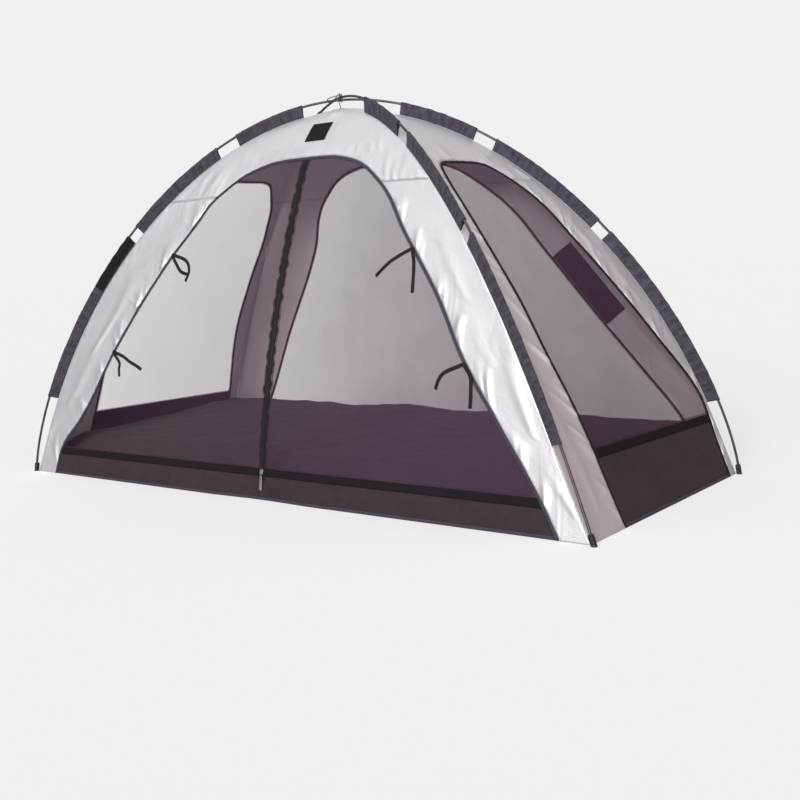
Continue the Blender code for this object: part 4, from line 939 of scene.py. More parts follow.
def piece_from(name, shape, finishes, body="tent"):
    mesh = bpy.data.meshes.new(name)
    shape.to_mesh(mesh)
    shape.free()
    for finish in finishes:
        mesh.materials.append(FINISHES[finish])
    piece = bpy.data.objects.new(name, mesh)
    bpy.context.scene.collection.objects.link(piece)
    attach(piece, body)
    return piece


def cloth(name, sheet, facing, thickness, finishes, nodes, flat):
    """Sheet with its thickness outside its points; its area and the size it was cut to are worked out
    but not used.
    """
    bmesh.ops.remove_doubles(sheet, verts=sheet.verts[:], dist=MERGE)
    face_outwards(sheet, facing)
    area = sum(face.calc_area() for face in sheet.faces)
    piece = piece_from(name, sheet, finishes)
    wall = piece.modifiers.new("thickness", "SOLIDIFY")
    wall.thickness = thickness
    wall.offset = 1.0
    wall.use_quality_normals = True
    wall.material_offset = len(finishes) - 1
    if nodes:
        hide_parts(*nodes)
    min(area, flat[0] * flat[1])


def table_normals(points):
    return unit(np.cross(np.gradient(points, axis=0), np.gradient(points, axis=1)))


def lifted(points, heights, facing):
    """Table of points moved along the sheet's normals."""
    normals = table_normals(points)
    if np.sum(normals @ facing) < 0.0:
        normals = -normals
    return points + normals * heights[..., None]


def distances(points, k, axis):
    """Distance of each place of a table from its line k, along columns (0) or rows (1)."""
    line = np.take(points, [k], axis=axis)
    return np.linalg.norm(points - line, axis=-1)


def edge_marks(points):
    """Distance of each place from the nearest edge of a sheet."""
    return np.minimum.reduce([distances(points, k, axis) for k in (0, -1) for axis in (0, 1)])


def band(wall, corner, inner):
    """Silver strip between a window and a seam, gathered where it is sewn."""
    axis = WALLS[wall][2]
    side = CORNERS[corner][axis]
    heights = side_heights(wall)[:SEAM_ROW + 1]
    edge = refined(inner[:SEAM_ROW + 1])
    heights = refined(heights[:, None])[:, 0]
    seam = seam_points(corner, heights)[:, axis] - side * SEAM_GAP
    shares = np.linspace(0.0, 1.0, BAND_COLUMNS + 1)[:, None]
    along = mix(edge[:, 0][None], seam[None], shares)
    level = mix(edge[:, 1][None], heights[None], shares)
    points = wall_at(wall, along, level)
    from_edge, from_seam = distances(points, 0, 0), distances(points, -1, 0)
    width = from_edge[-1].max()
    run = np.broadcast_to(slope_length(wall, heights)[None], level.shape)
    length = run[0, -1]
    seed = sum(ord(letter) for letter in wall + corner)
    rng = np.random.default_rng(seed + 9)
    at_edge = [(0.0, centre + rng.uniform(-0.03, 0.03)) for centre in np.arange(0.05, length, 0.12)
               for _ in range(3)]
    name = f"band_{wall}_{corner.replace(wall, '').strip('_')}"
    slack = BAND_SLACKS.get(name, DEFAULT_SLACK)
    folds = folds_from_edge(seed, at_edge, (50, 70), (0.05, 0.13), (0.006, 0.012), (0.001, 0.0025))
    long_folds = [(width * 0.45, v) for v in np.arange(0.05, length * 0.8, 0.16)]
    folds += folds_from_edge(seed + 3, long_folds, (75, 105), (0.12, 0.30), (0.014, 0.026),
                             (0.001, 0.003))
    rise = creases(from_edge, run, folds) + 0.0003 * (1.0 + ripples(from_edge, run, seed, 0.12))
    lean = FOLD_LEANS.get(name, DEFAULT_LEAN)
    rise += slack * (0.0018 * gathered(from_edge, run, lean, 0.0125, 0.120, seed + 10)
                     + 0.0015 * gathered(length - run, from_edge, 0.45, 0.0125, 0.110, seed + 20)
                     + 0.0010 * gathered(from_seam, run, 1.3, 0.0120, 0.060, seed + 30))
    sewn = eased(from_edge / 0.004) * eased(from_seam / 0.010) * eased(run / 0.012)
    sewn = sewn * eased((length - run) / 0.006)
    rise = np.maximum(rise, 0.0) * sewn
    lay = np.stack([from_edge, run], -1)
    sheet = grid_sheet(lifted(points, rise, OUTWARDS[wall]), lay,
                       {"edge": from_edge, "seam": from_seam, "row": run, "drop": length - run,
                        "slack": np.full_like(run, slack)})
    cloth(name, sheet, OUTWARDS[wall], SILVER_THICKNESS, ("silver_outer", "silver_inner"),
          [name], (float(width) * 1.05, float(length) * 1.1))


def crown():
    """Four silver caps, sewn to each other under the poles and to the bands at the cap seams."""
    caps = bmesh.new()
    rise_power = (RISE_POWERS["lower"] + RISE_POWERS["upper"]) / 2
    seam = CAP_SEAM_SHARE * CROWN_HEIGHT
    for number, wall in enumerate(WALLS):
        axis = WALLS[wall][2]
        left, arch, right = window_lines(wall, PIPING_GAP)
        lower = np.vstack([left[SEAM_ROW:], arch[1:-1], right[SEAM_ROW:][::-1]])
        shares = share_along(wall, lower[:, 0], lower[:, 1])
        first = line_between((0.0, seam), (shares[0], lower[0, 1]), CAP_WING_COLUMNS)[:-1]
        last = line_between((shares[-1], lower[-1, 1]), (1.0, seam), CAP_WING_COLUMNS)[1:]
        starts = np.vstack([first, np.stack([shares, lower[:, 1]], -1), last])
        low = np.arcsin((starts[:, 1] / CROWN_HEIGHT) ** (1.0 / rise_power))
        turns = mix(low[:, None], math.pi / 2, np.linspace(0.0, 1.0, CAP_ROWS + 1)[None])
        heights = np.minimum(CROWN_HEIGHT * np.sin(turns) ** rise_power, CROWN_HEIGHT)
        points = wall_by_share(wall, np.broadcast_to(starts[:, :1], heights.shape), heights)
        up = slope_length(wall, heights)
        place = points[..., axis]
        base = distances(points, 0, 1)
        side = np.minimum(distances(points, 0, 0), distances(points, -1, 0))
        arch_left, arch_right = lower[0, 0], lower[-1, 0]
        seam_up = float(slope_length(wall, seam))
        arch_up = float(slope_length(wall, ARCH_SHARES[wall] * CROWN_HEIGHT))
        spots = [(mix(arch_left, arch_right, k / 16), arch_up) for k in range(1, 16)]
        folds = folds_from_edge(40 + number, spots, (50, 130), (0.03, 0.09), (0.006, 0.012),
                                (0.0005, 0.0016))
        for corner_place, inward in ((arch_left, 1), (arch_right, -1)):
            wing = [(corner_place - inward * s, seam_up) for s in (0.01, 0.03, 0.055, 0.08, 0.11)]
            lean = (60, 100) if inward > 0 else (80, 120)
            folds += folds_from_edge(60 + number * 2 + inward, wing, lean, (0.05, 0.13),
                                     (0.006, 0.014), (0.001, 0.003))
        top_up = float(up.max())
        spokes = [(0.0, top_up - 0.03)] * 6
        folds += folds_from_edge(80 + number, spokes, (-160, -20), (0.12, 0.32), (0.014, 0.026),
                                 (0.0006, 0.0018))
        rise = creases(place, up, folds) + 0.0004 * (1.0 + ripples(place, up, 90 + number, 0.14))
        rise += 0.0007 * gathered(base, place, 0.5, 0.018, 0.100, 240 + number)
        flat_top = eased((top_up - up - 0.02) / 0.06)
        rise = np.maximum(rise, 0.0) * eased(side / 0.012) * eased(base / 0.006) * flat_top
        if wall == "front":
            patch_low = slope_length(wall, PATCH_BOTTOM_SHARE * CROWN_HEIGHT) - 0.012
            patch_high = slope_length(wall, PATCH_TOP_SHARE * CROWN_HEIGHT) + 0.012
            beside = np.maximum.reduce([np.abs(place) - PATCH_WIDTH / 2 - 0.010, patch_low - up,
                                        up - patch_high])
            rise = rise * eased(beside / 0.02)
        reach = np.clip(1.0 - np.hypot(points[..., 0], points[..., 1]) / 0.10, 0.0, 1.0)
        points[..., 2] += CROWN_PEAK * reach ** 1.5
        sheet = grid_sheet(lifted(points, rise, UP), np.stack([place, up], -1),
                           {"edge": base, "seam": side, "row": place, "drop": np.full_like(up, 1.0),
                            "slack": np.full_like(up, 0.3)})
        face_outwards(sheet, UP)
        mesh = bpy.data.meshes.new("cap")
        sheet.to_mesh(mesh)
        sheet.free()
        caps.from_mesh(mesh)
        bpy.data.meshes.remove(mesh)
    cloth("crown", caps, UP, SILVER_THICKNESS,
          ("silver_outer", "silver_inner"), ["crown"], (0.75, 1.45))


def binding(wall):
    """Ribbed tape folded over the window's edge; its two lips lie on the band and on the net."""
    first, arch, second = window_lines(wall)
    places = np.vstack([first, arch[1:-1], second[::-1]])
    points = wall_at(wall, places[:, 0], places[:, 1])
    normals = wall_normals(wall, places[:, 0], places[:, 1])
    runs = unit(np.gradient(points, axis=0))
    across = unit(np.cross(normals, runs))
    lengths = spans(points)
    ripple = 0.00025 * ripples(lengths, lengths * 0.0, 200 + len(wall), 0.018)
    table = [points + across * (x / 1000 + ripple * 0.6)[:, None]
             + normals * (n / 1000 + ripple)[:, None] for x, n in BINDING_PROFILE]
    places = np.array([x / 1000 + 0.0045 for x, _ in BINDING_PROFILE])
    lay = np.stack(np.broadcast_arrays(places[:, None], lengths[None]), -1)
    tape = grid_sheet(np.array(table), lay, {})
    bmesh.ops.remove_doubles(tape, verts=tape.verts[:], dist=MERGE)
    cut_flat(tape, GROUND_LIFT)
    name = f"piping_{wall}"
    piece = piece_from(name, tape, ["front_binding" if wall == "front" else "black_binding"])
    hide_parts(name)


def zip_ruffle(along, heights):
    """How far the zip tape's outer edge and the net beside it stand off the wall."""
    side = np.sign(along)
    wave = (np.sin(heights * 2 * math.pi / 0.046 + side * 0.8)
            + 0.6 * np.sin(heights * 2 * math.pi / 0.029 + 1.3)
            + 0.5 * np.sin(heights * 2 * math.pi / 0.083 + side * 2.0))
    ends = eased((heights - 0.095) / 0.05) * eased((ZIP_TOP - heights) / 0.03)
    near = np.abs(along)
    share = eased((near - 0.0042) / 0.0080) * np.exp(-np.maximum(near - ZIP_HALF_GAP, 0.0) / 0.020)
    return 0.0017 * (1.2 + wave) * share * ends


def net_sheet(name, wall, places, shade_cover, seed):
    """Net sewn into a window, slack enough for a few long folds."""
    along, level = places[..., 0], places[..., 1]
    points = wall_at(wall, along, level)
    up = slope_length(wall, level)
    rng = np.random.default_rng(seed)
    sides = float(along.min()), float(along.max())
    folds = [random_fold(rng, sides, (0.1, float(up.max()) * 0.9), (60, 120), (0.15, 0.45),
                         (0.005, 0.014), (0.0008, 0.0028)) for _ in range(NET_FOLDS)]
    rise = creases(along, up, folds) + 0.0014 * ripples(along, up, seed, 0.22, stretch=0.5)
    edges = edge_marks(points)
    rise = rise * eased(edges / 0.03)
    if wall == "front":
        rise = rise * eased((np.abs(along) - ZIP_HALF_GAP) / 0.03) + zip_ruffle(along, level)
    sheet = grid_sheet(lifted(points, rise, OUTWARDS[wall]), np.stack([along, up], -1),
                       {"edge": edges, "shade_cover": shade_cover(along, level)})
    width = float(np.ptp(along)) * 1.05
    length = float(np.ptp(up)) * 1.05
    cloth(name, sheet, OUTWARDS[wall], NET_THICKNESS, ("net",), [name],
          (width, length))


def above_skirt(side):
    """The part of a window's side above its skirt, a seam's gap clear of it."""
    line = side[SKIRT_ROW:].copy()
    line[0, 1] += SEAM_GAP / 2
    return line


def nets():
    for wall in ("back", "left", "right"):
        left, arch, right = window_lines(wall, -PIPING_GAP)
        left, right = above_skirt(left), above_skirt(right)
        bottom = line_between(left[0], right[0], ARCH_COLUMNS)
        places = filled(bottom, arch, left, right)[:, ::2]
        net_sheet(f"net_{wall}", wall, places, painted_shade_cover(wall), 300 + len(wall))
    for side, name in ((-1, "door_left"), (1, "door_right")):
        left, arch, right = window_lines("front", -PIPING_GAP)
        outer, top = (left, arch) if side < 0 else (right, arch[::-1])
        outer = above_skirt(outer)
        half = ARCH_COLUMNS // 2
        top = top[:half + 1].copy()
        keep = side * top[:, 0] > ZIP_HALF_GAP
        last = int(np.argmin(keep)) if not keep.all() else half
        crossing = line_between(top[last - 1], top[last], 1)
        share = (side * ZIP_HALF_GAP - crossing[0, 0]) / (crossing[1, 0] - crossing[0, 0])
        line = np.vstack([top[:last], mix(crossing[0], crossing[1], share)])
        inner = line_between((side * ZIP_HALF_GAP, outer[0, 1]), line[-1], len(outer) - 1)
        bottom = line_between(outer[0], inner[0], len(line) - 1)
        places = filled(bottom, line, outer, inner)[:, ::2]
        net_sheet(name, "front", places, painted_shade_cover("front"), 310 + side)


def painted_shade_cover(wall):
    """Share of extra cover over a net, as painted shade: denser, so darker, in the lower right of each
    side, as in the photograph; nearly none on the left end, most on the right end.
    """
    def at(along, level):
        if not is_side(wall):
            return np.full_like(along, 0.02 if wall == "left" else 0.85)
        return np.clip(0.47 + 0.72 * along - 0.30 * (level / CROWN_HEIGHT - 0.4), 0.0, 1.0)
    return at


def skirt(wall):
    """Dark strip below a window, with a bound upper edge; the front one is notched for the zip."""
    left, _, right = window_lines(wall, -PIPING_GAP)
    rows = SKIRT_ROW + 1
    lower = np.where(np.arange(rows) == SKIRT_ROW, SEAM_GAP / 2, 0.0)
    start, end = left[:rows].copy(), right[:rows].copy()
    start[:, 1] -= lower
    end[:, 1] -= lower
    columns = 150 if is_side(wall) else 60
    if wall == "front":
        gap = np.stack([np.full(rows, ZIP_HALF_GAP), start[:, 1]], -1)
        back = gap * np.array((-1.0, 1.0))
        half = np.linspace(0.0, 1.0, columns // 2 + 1)[:, None, None]
        notch = np.linspace(0.0, 1.0, 9)[1:-1, None, None]
        places = np.concatenate([mix(start[None], back[None], half), mix(back[None], gap[None], notch),
                                 mix(gap[None], end[None], half)])
    else:
        places = mix(start[None], end[None], np.linspace(0.0, 1.0, columns + 1)[:, None, None])
    along, level = places[..., 0], places[..., 1]
    points = wall_at(wall, along, level)
    up = slope_length(wall, level)
    skirt_height = float(level.max())
    seed = 400 + len(wall)
    rng = np.random.default_rng(seed)
    folds = [(rng.uniform(along.min(), along.max()), rng.uniform(0.0, skirt_height * 0.7),
              math.radians(rng.choice([rng.uniform(-35, 35), rng.uniform(60, 120)])),
              rng.uniform(0.04, 0.16), rng.uniform(0.005, 0.012), rng.uniform(0.001, 0.0032))
             for _ in range(int(np.ptp(along) / 0.035))]
    hem = eased((skirt_height - 0.022 - level) / 0.016)
    clear = eased((level - 0.004) / 0.012) * hem
    sides = np.minimum(distances(points, 0, 0), distances(points, -1, 0))
    rise = np.maximum(creases(along, up, folds) + 0.0006 * (1 + ripples(along, up, seed, 0.06)), 0.0)
    rise = rise * clear * eased(sides / 0.012)
    if wall == "front":
        rise = rise * eased((np.abs(along) - ZIP_HALF_GAP) / 0.02)
    rise = rise + 0.0004 * (1.0 - hem) * eased(sides / 0.004)
    sheet = grid_sheet(lifted(points, rise, OUTWARDS[wall]), np.stack([along, up], -1),
                       {"edge": np.minimum(skirt_height - level, level)})
    if wall == "front":
        bottom = ZIP_BOTTOM - SEAM_GAP
        notched = [face for face in sheet.faces if abs(face.calc_center_median().x) < ZIP_HALF_GAP
                   and face.calc_center_median().z > bottom]
        bmesh.ops.delete(sheet, geom=notched, context="FACES")
    name = f"skirt_{wall}"
    cloth(name, sheet, OUTWARDS[wall], DARK_THICKNESS, ("skirt_cloth",), [name],
          (float(np.ptp(along)) * 1.08, skirt_height * 1.15))


def hem_tape(wall):
    """Black tape over the upper edge of a skirt, and a thin grey one along its base."""
    left, _, right = window_lines(wall, -PIPING_GAP)
    skirt_height = window_sizes(wall)[0]
    steps = 140 if is_side(wall) else 60
    strips = (("upper", skirt_height - 0.022, skirt_height - 0.0015, "black_cloth"),
              ("lower", 0.0015, 0.008, "front_binding"))
    for label, low, high, finish in strips:
        heights = np.linspace(low, high, 7)
        starts = np.interp(heights, left[:SKIRT_ROW + 1, 1], left[:SKIRT_ROW + 1, 0])
        ends = np.interp(heights, right[:SKIRT_ROW + 1, 1], right[:SKIRT_ROW + 1, 0])
        parts = [(starts, ends, "")]
        if wall == "front" and label == "upper":
            gap = np.full(7, ZIP_HALF_GAP)
            parts = [(starts, -gap, "_left"), (gap, ends, "_right")]
        for begin, end, suffix in parts:
            along = mix(begin[None], end[None], np.linspace(0.0, 1.0, steps + 1)[:, None])
            level = np.broadcast_to(heights[None], along.shape)
            lift = 0.0021 + 0.0003 * ripples(along, level, 500 + len(wall), 0.03)
            points = wall_at(wall, along, level)
            sheet = grid_sheet(lifted(points, lift, OUTWARDS[wall]),
                               np.stack([(level - low) * 0.009 / (high - low), along], -1), {})
            cloth(f"hem_{label}_{wall}{suffix}", sheet, OUTWARDS[wall], HEM_THICKNESS, (finish,),
                  [], (float(np.ptp(along)) * 1.05, max((high - low) * 1.2, 0.0101)))


def sleeve(corner, part, low_share, high_share, bare=None):
    """Fabric channel folded over a pole, gathered along it and hemmed at both ends."""
    turns = turn_at_share(corner, np.linspace(low_share, high_share, 60))
    fine = pole_points(corner, turns)
    lengths = spans(fine)
    count = max(16, int(lengths[-1] / 0.005))
    run = np.linspace(0.0, lengths[-1], count + 1)
    turns = np.interp(run, lengths, turns)
    side_x, side_y, pole = CORNERS[corner]
    across = unit(np.array((-side_y * POLE_HALF_WIDTH, side_x * POLE_HALF_LENGTH, 0.0)))
    held = pole_points(corner, turns)
    seam = seam_points(corner, CROWN_HEIGHT * np.sin(turns) ** RISE_POWERS[pole])
    out = unit(held - seam)
    depth = np.linalg.norm(held - seam, axis=-1)
    seed = 600 + sum(ord(letter) for letter in corner + part)
    rng = np.random.default_rng(seed)
    lines, girth = [], []
    leg_steps, arc_steps = 9, 12
    total = leg_steps * 2 + arc_steps
    for j in range(total + 1):
        if j < leg_steps or j > total - leg_steps:
            side = 1.0 if j < leg_steps else -1.0
            share = (j if side > 0 else total - j) / leg_steps
            reach = mix(0.0016, depth, share)
            half = mix(0.0008, SLEEVE_BORE, share ** 2.2)
            lines.append(seam + out * reach[:, None] + across * (side * half))
            girth.append(side * (0.034 * (1.0 - share) + 0.008))
        else:
            angle = math.pi * (0.5 - (j - leg_steps) / arc_steps)
            lines.append(held + (across * math.sin(angle) + out * math.cos(angle)) * SLEEVE_BORE)
            girth.append(SLEEVE_BORE * angle)
    points = np.array(lines)
    u = np.broadcast_to(np.array(girth)[:, None], points.shape[:2])
    v = np.broadcast_to(run[None], points.shape[:2])
    folds = []
    for start in np.arange(0.010, run[-1] - 0.01, 0.011):
        lean = rng.uniform(50, 130)
        spot = rng.uniform(-0.03, 0.03)
        folds.append((spot, start, math.radians(lean if rng.random() > 0.35 else lean - 180),
                      rng.uniform(0.03, 0.08), rng.uniform(0.002, 0.0048), rng.uniform(0.0010, 0.0030)))
    rise = (creases(u, v, folds) * mix(0.22, 1.0, eased((np.abs(u) - 0.006) / 0.012))
            + 0.0003 * (1.0 + ripples(u, v, seed, 0.022, stretch=0.7)))
    ends = np.minimum(v, run[-1] - v)
    sewn = eased((0.043 - np.abs(u)) / 0.006)
    rise = (np.maximum(rise, 0.0) * sewn * mix(0.35, 1.0, eased(ends / 0.012))
            + 0.0005 * (ends < 0.009) * sewn)
    normals = table_normals(points)
    away = points[total // 2] - seam
    if np.sum(normals[total // 2] * away) < 0.0:
        normals = -normals
    points = points + normals * rise[..., None]
    name = f"sleeve_{corner}_{part}"
    sheet = grid_sheet(points, np.stack([u, v], -1), {"edge": ends})
    ridge = points[total // 2]

    def facing(centre):
        k = int(np.argmin(np.abs(ridge[:, 2] - centre.z)))
        near = (centre - Vector(ridge[k])).length < 0.006
        return Vector(ridge[k] - seam[k]) if near else Vector()

    cloth(name, sheet, facing, SLEEVE_THICKNESS, ("sleeve_cloth",), [name],
          (0.105, float(run[-1]) * 1.05))
    if bare:
        marks = [float(np.interp(turn_at_share(corner, s), turns, run)) for s in bare]
        picked = np.where((run >= marks[0]) & (run <= marks[1]))[0]
        rows = slice(picked[0], picked[-1] + 1)
        front_first = points[2, 0, 1] < points[-3, 0, 1]
        chosen = slice(1, leg_steps + 3) if front_first else slice(total - leg_steps - 2, total)
        strip_points = points[chosen, rows] + normals[chosen, rows] * (SLEEVE_THICKNESS + SEAM_GAP)
        strip_lay = np.stack([u[chosen, rows], v[chosen, rows]], -1)
        strip = grid_sheet(strip_points, strip_lay, {"edge": edge_marks(strip_points) + 0.0025})
        outward = unit(normals[chosen, rows].reshape(-1, 3).mean(axis=0))
        cloth("sleeve_strip", strip, outward, STRIP_THICKNESS, ("black_cloth",), [],
              (0.045, float(marks[1] - marks[0]) * 1.05))


def sleeves():
    for corner in CORNERS:
        shares = FRONT_LEFT_SLEEVE_END_SHARES if corner == "front_left" else SLEEVE_END_SHARES
        for part, (low, high) in zip(SLEEVE_NAMES, shares):
            bare = BARE_STRIP_SHARES if (corner, part) == ("front_left", "low") else None
            sleeve(corner, part, low, high, bare)


def floor_sheet():
    """Dark sheet over the bed, with humps and pulled creases; its hem follows the walls."""
    last, turn_steps, side_steps, end_steps = len(FLOOR_RING_SHARES) - 1, 22, 110, 46
    knots = np.arange(last + 1)

    def edge(ring, along, wall, axis):
        share = np.interp(ring, knots, FLOOR_RING_SHARES)
        height = GROUND_LIFT + share * (FLOOR_FRONT_HEIGHT - FLOOR_CLEARANCE)
        ease = FLOOR_EASE + FLOOR_EDGES[wall] * np.interp(ring, knots, FLOOR_MARGIN_SHARES)
        face = wall_at(wall, along, height)[..., axis]
        return face - np.sign(face) * ease

    def spread(steps):
        k = np.arange(steps + 2 * turn_steps + 1)
        ring = np.minimum(np.minimum(k, k[-1] - k) / turn_steps * last, last)
        return ring, np.clip((k - turn_steps) / steps, 0.0, 1.0)

    ring_x, share_x = spread(side_steps)
    ring_y, share_y = spread(end_steps)
    ring_x, ring_y = np.broadcast_arrays(ring_x[:, None], ring_y[None])
    share_x, share_y = np.broadcast_arrays(share_x[:, None], share_y[None])
    x, y = np.zeros(ring_x.shape), np.zeros(ring_x.shape)
    for _ in range(4):
        x = mix(edge(ring_x, y, "left", 0), edge(ring_x, y, "right", 0), share_x)
        y = mix(edge(ring_y, x, "front", 1), edge(ring_y, x, "back", 1), share_y)
    ring = np.minimum(ring_x, ring_y)
    top = mix(FLOOR_FRONT_HEIGHT, FLOOR_BACK_HEIGHT, 0.5 + y / (2 * POLE_HALF_WIDTH)) - FLOOR_CLEARANCE
    z = GROUND_LIFT + np.interp(ring, knots, FLOOR_RING_SHARES) * top
    rng = np.random.default_rng(700)
    folds = [random_fold(rng, (-0.85, 0.75), (-0.34, 0.30), (-28, 28), (0.20, 0.60), (0.006, 0.014),
                         (0.0015, 0.0045)) for _ in range(FLOOR_LONG_FOLDS)]
    folds += [(rng.uniform(-0.8, 0.8), -0.33, math.radians(rng.uniform(50, 120)),
               rng.uniform(0.06, 0.16), rng.uniform(0.006, 0.012), rng.uniform(0.002, 0.005))
              for _ in range(FLOOR_EDGE_FOLDS)]
    hump = 0.0022 * ripples(x, y, 701, 0.34) + 0.0012 * ripples(x, y, 702, 0.10, stretch=1.8)
    rise = (creases(x, y, folds) + hump) * eased((ring - 0.4) / 2.2)
    points = np.stack([x, y, z + rise - 0.003 * eased(ring / last)], -1)
    sheet = grid_sheet(points, np.stack([x, y], -1), {"edge": edge_marks(points)})
    cloth("floor_sheet", sheet, UP, FLOOR_THICKNESS, ("floor_cloth",),
          ["floor_sheet"], (2.20, 1.06))


def zip_frame(heights):
    """Points of the zip's line, with its outward directions."""
    angle = np.arcsin((np.asarray(heights) - ZIP_CENTRE_Z) / ZIP_RADIUS)
    out = np.stack([np.zeros_like(angle), -np.cos(angle), np.sin(angle)], -1)
    return np.array((0.0, ZIP_CENTRE_Y, ZIP_CENTRE_Z)) + out * ZIP_RADIUS, out


def zip_teeth(name, side):
    """Row of teeth along one tape, with a stop at each end."""
    coil = bmesh.new()
    count = int((ZIP_TOP - ZIP_BOTTOM - TOOTH_INSET) / TOOTH_PITCH)
    spots = ZIP_BOTTOM + TOOTH_INSET + TOOTH_PITCH * (np.arange(count) + (0.25 if side > 0 else -0.25))
    for base, way in zip(*zip_frame(spots)):
        made = bmesh.ops.create_cone(coil, cap_ends=True, segments=6, radius1=0.00066, radius2=0.00048,
                                     depth=0.0027)["verts"]
        axes = Vector((0.0, way[2], -way[1])), Vector(way), Vector((side, 0.0, 0.0))
        bmesh.ops.transform(coil, matrix=Matrix(axes).transposed().to_4x4(), verts=made)
        centre = Vector(base) + Vector(way) * 0.00132 + Vector((side * 0.00208, 0.0, 0.0))
        bmesh.ops.translate(coil, vec=centre, verts=made)
    for end, length in ((spots[0] - 0.0022, 0.0026), (spots[-1] + 0.0022, 0.0020)):
        base, way = zip_frame(np.array([end]))
        made = bmesh.ops.create_cube(coil, size=1.0)["verts"]
        bmesh.ops.scale(coil, vec=(*STOP_SIZE, length), verts=made)
        centre = Vector(base[0]) + Vector(way[0]) * 0.0013 + Vector((side * 0.0022, 0.0, 0.0))
        bmesh.ops.translate(coil, vec=centre, verts=made)
    bmesh.ops.recalc_face_normals(coil, faces=coil.faces[:])
    teeth = piece_from(name, coil, ["nylon_teeth"])


def zip_tapes():
    """Two woven tapes with ruffled outer edges, and the teeth on each."""
    heights = np.linspace(ZIP_BOTTOM, ZIP_TOP, ZIP_ROWS)
    line, out = zip_frame(heights)
    for side, end in ((-1, "left"), (1, "right")):
        name = f"zip_tape_{end}"
        table, lay = [], []
        for x in np.array(TAPE_COLUMNS) * side:
            lift = zip_ruffle(np.full(len(heights), x), heights)
            place = line + out * lift[:, None]
            place[:, 0] = x
            table.append(place)
            lay.append(np.stack([np.full(len(heights), abs(x)), heights], -1))
        sheet = grid_sheet(np.array(table), np.array(lay), {})
        cloth(name, sheet, OUTWARDS["front"], TAPE_THICKNESS, ("zip_webbing",), [name],
              (0.0122, 0.90))
        zip_teeth(f"zip_teeth_{end}", side)


def copied_node(node, round_to):
    """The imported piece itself, merged, with its sharp edges rounded."""
    shape = bmesh.new()
    shape.from_mesh(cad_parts[node].data)
    bmesh.ops.remove_doubles(shape, verts=shape.verts[:], dist=MERGE)
    bmesh.ops.dissolve_limit(shape, angle_limit=math.radians(1.0), verts=shape.verts[:],
                             edges=shape.edges[:])
    piece = piece_from(f"{node}_finished", shape, ["plated_metal"], node)
    edge = piece.modifiers.new("rounded", "BEVEL")
    edge.width, edge.segments, edge.limit_method = round_to, 2, "ANGLE"
    edge.angle_limit = math.radians(38)
    edge.harden_normals = True
    for face in piece.data.polygons:
        face.use_smooth = True
    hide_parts(node)


def beside_window(wall, side, heights, distance):
    """Places in a wall, beside the window's side at heights."""
    axis = WALLS[wall][2]
    here = wall_at(wall, window_edge(wall, side, heights), heights)
    above = wall_at(wall, window_edge(wall, side, heights + POLE_RADIUS), heights + POLE_RADIUS)
    across = unit(np.cross(wall_normals(wall, here[..., axis], heights), above - here))
    across *= np.where(across[..., axis] * side < 0.0, -1.0, 1.0)[..., None]
    point = here + across * distance[..., None]
    return point[..., axis], point[..., 2]


def pocket(wall, side):
    """Pocket sewn inside a band on three sides, with a hemmed mouth."""
    steps = 30
    u, v = np.meshgrid(np.linspace(0, 1, steps + 1), np.linspace(0, 1, steps + 1), indexing="ij")
    heights = CROWN_HEIGHT * mix(POCKET_BOTTOM_SHARE, POCKET_TOP_SHARE, v)
    along, level = beside_window(wall, side, heights, POCKET_INSET + POCKET_WIDTH * u)
    bulge = POCKET_BULGE * np.sin(math.pi * u) * np.sin(math.pi / 2 * v)
    slack = eased(np.minimum(u, 1 - u) * 8)
    bulge = bulge + 0.0012 * ripples(u * 0.08, v * 0.2, 800 + side, 0.035) * slack * v
    inwards = -wall_normals(wall, along, level)
    points = wall_at(wall, along, level) + inwards * (0.0014 + bulge)[..., None]
    name = f"pocket_{wall}"
    sheet = grid_sheet(points, np.stack([u * POCKET_WIDTH, v * 0.2], -1), {"edge": edge_marks(points)})
    cloth(name, sheet, OUTWARDS[wall], POCKET_THICKNESS, ("pocket_cloth",), [name],
          (0.092, 0.235))


def patch():
    """Bare woven patch sewn on the front of the crown."""
    across, up = np.meshgrid(np.linspace(-0.5, 0.5, 19), np.linspace(0, 1, 17), indexing="ij")
    heights = CROWN_HEIGHT * mix(PATCH_BOTTOM_SHARE, PATCH_TOP_SHARE, up)
    along = across * PATCH_WIDTH
    points = wall_at("front", along, heights)
    run = slope_length("front", heights)
    edges = edge_marks(points)
    lift = 0.0016 + 0.0003 * (1 + ripples(along, run, 820, 0.03)) * eased(edges / 0.008)
    sheet = grid_sheet(lifted(points, lift, OUTWARDS["front"]), np.stack([along, run], -1),
                       {"edge": edges + 0.002})
    cloth("patch", sheet, OUTWARDS["front"], PATCH_THICKNESS, ("black_cloth",),
          ["patch"], (0.075, 0.115))


def smooth_route(route):
    """Curve through the points of a route, which keeps their order and its ends."""
    points = np.array(route)
    ends = np.vstack([points[0] * 2 - points[1], points, points[-1] * 2 - points[-2]])
    curve = []
    for a, b, c, d in zip(ends, ends[1:], ends[2:], ends[3:]):
        for k in range(ROUTE_STEPS):
            t = k / ROUTE_STEPS
            curve.append((b * 2 + (c - a) * t + (a * 2 - b * 5 + c * 4 - d) * t ** 2
                          + (b * 3 - a - c * 3 + d) * t ** 3) / 2)
    return np.array(curve + [points[-1]])


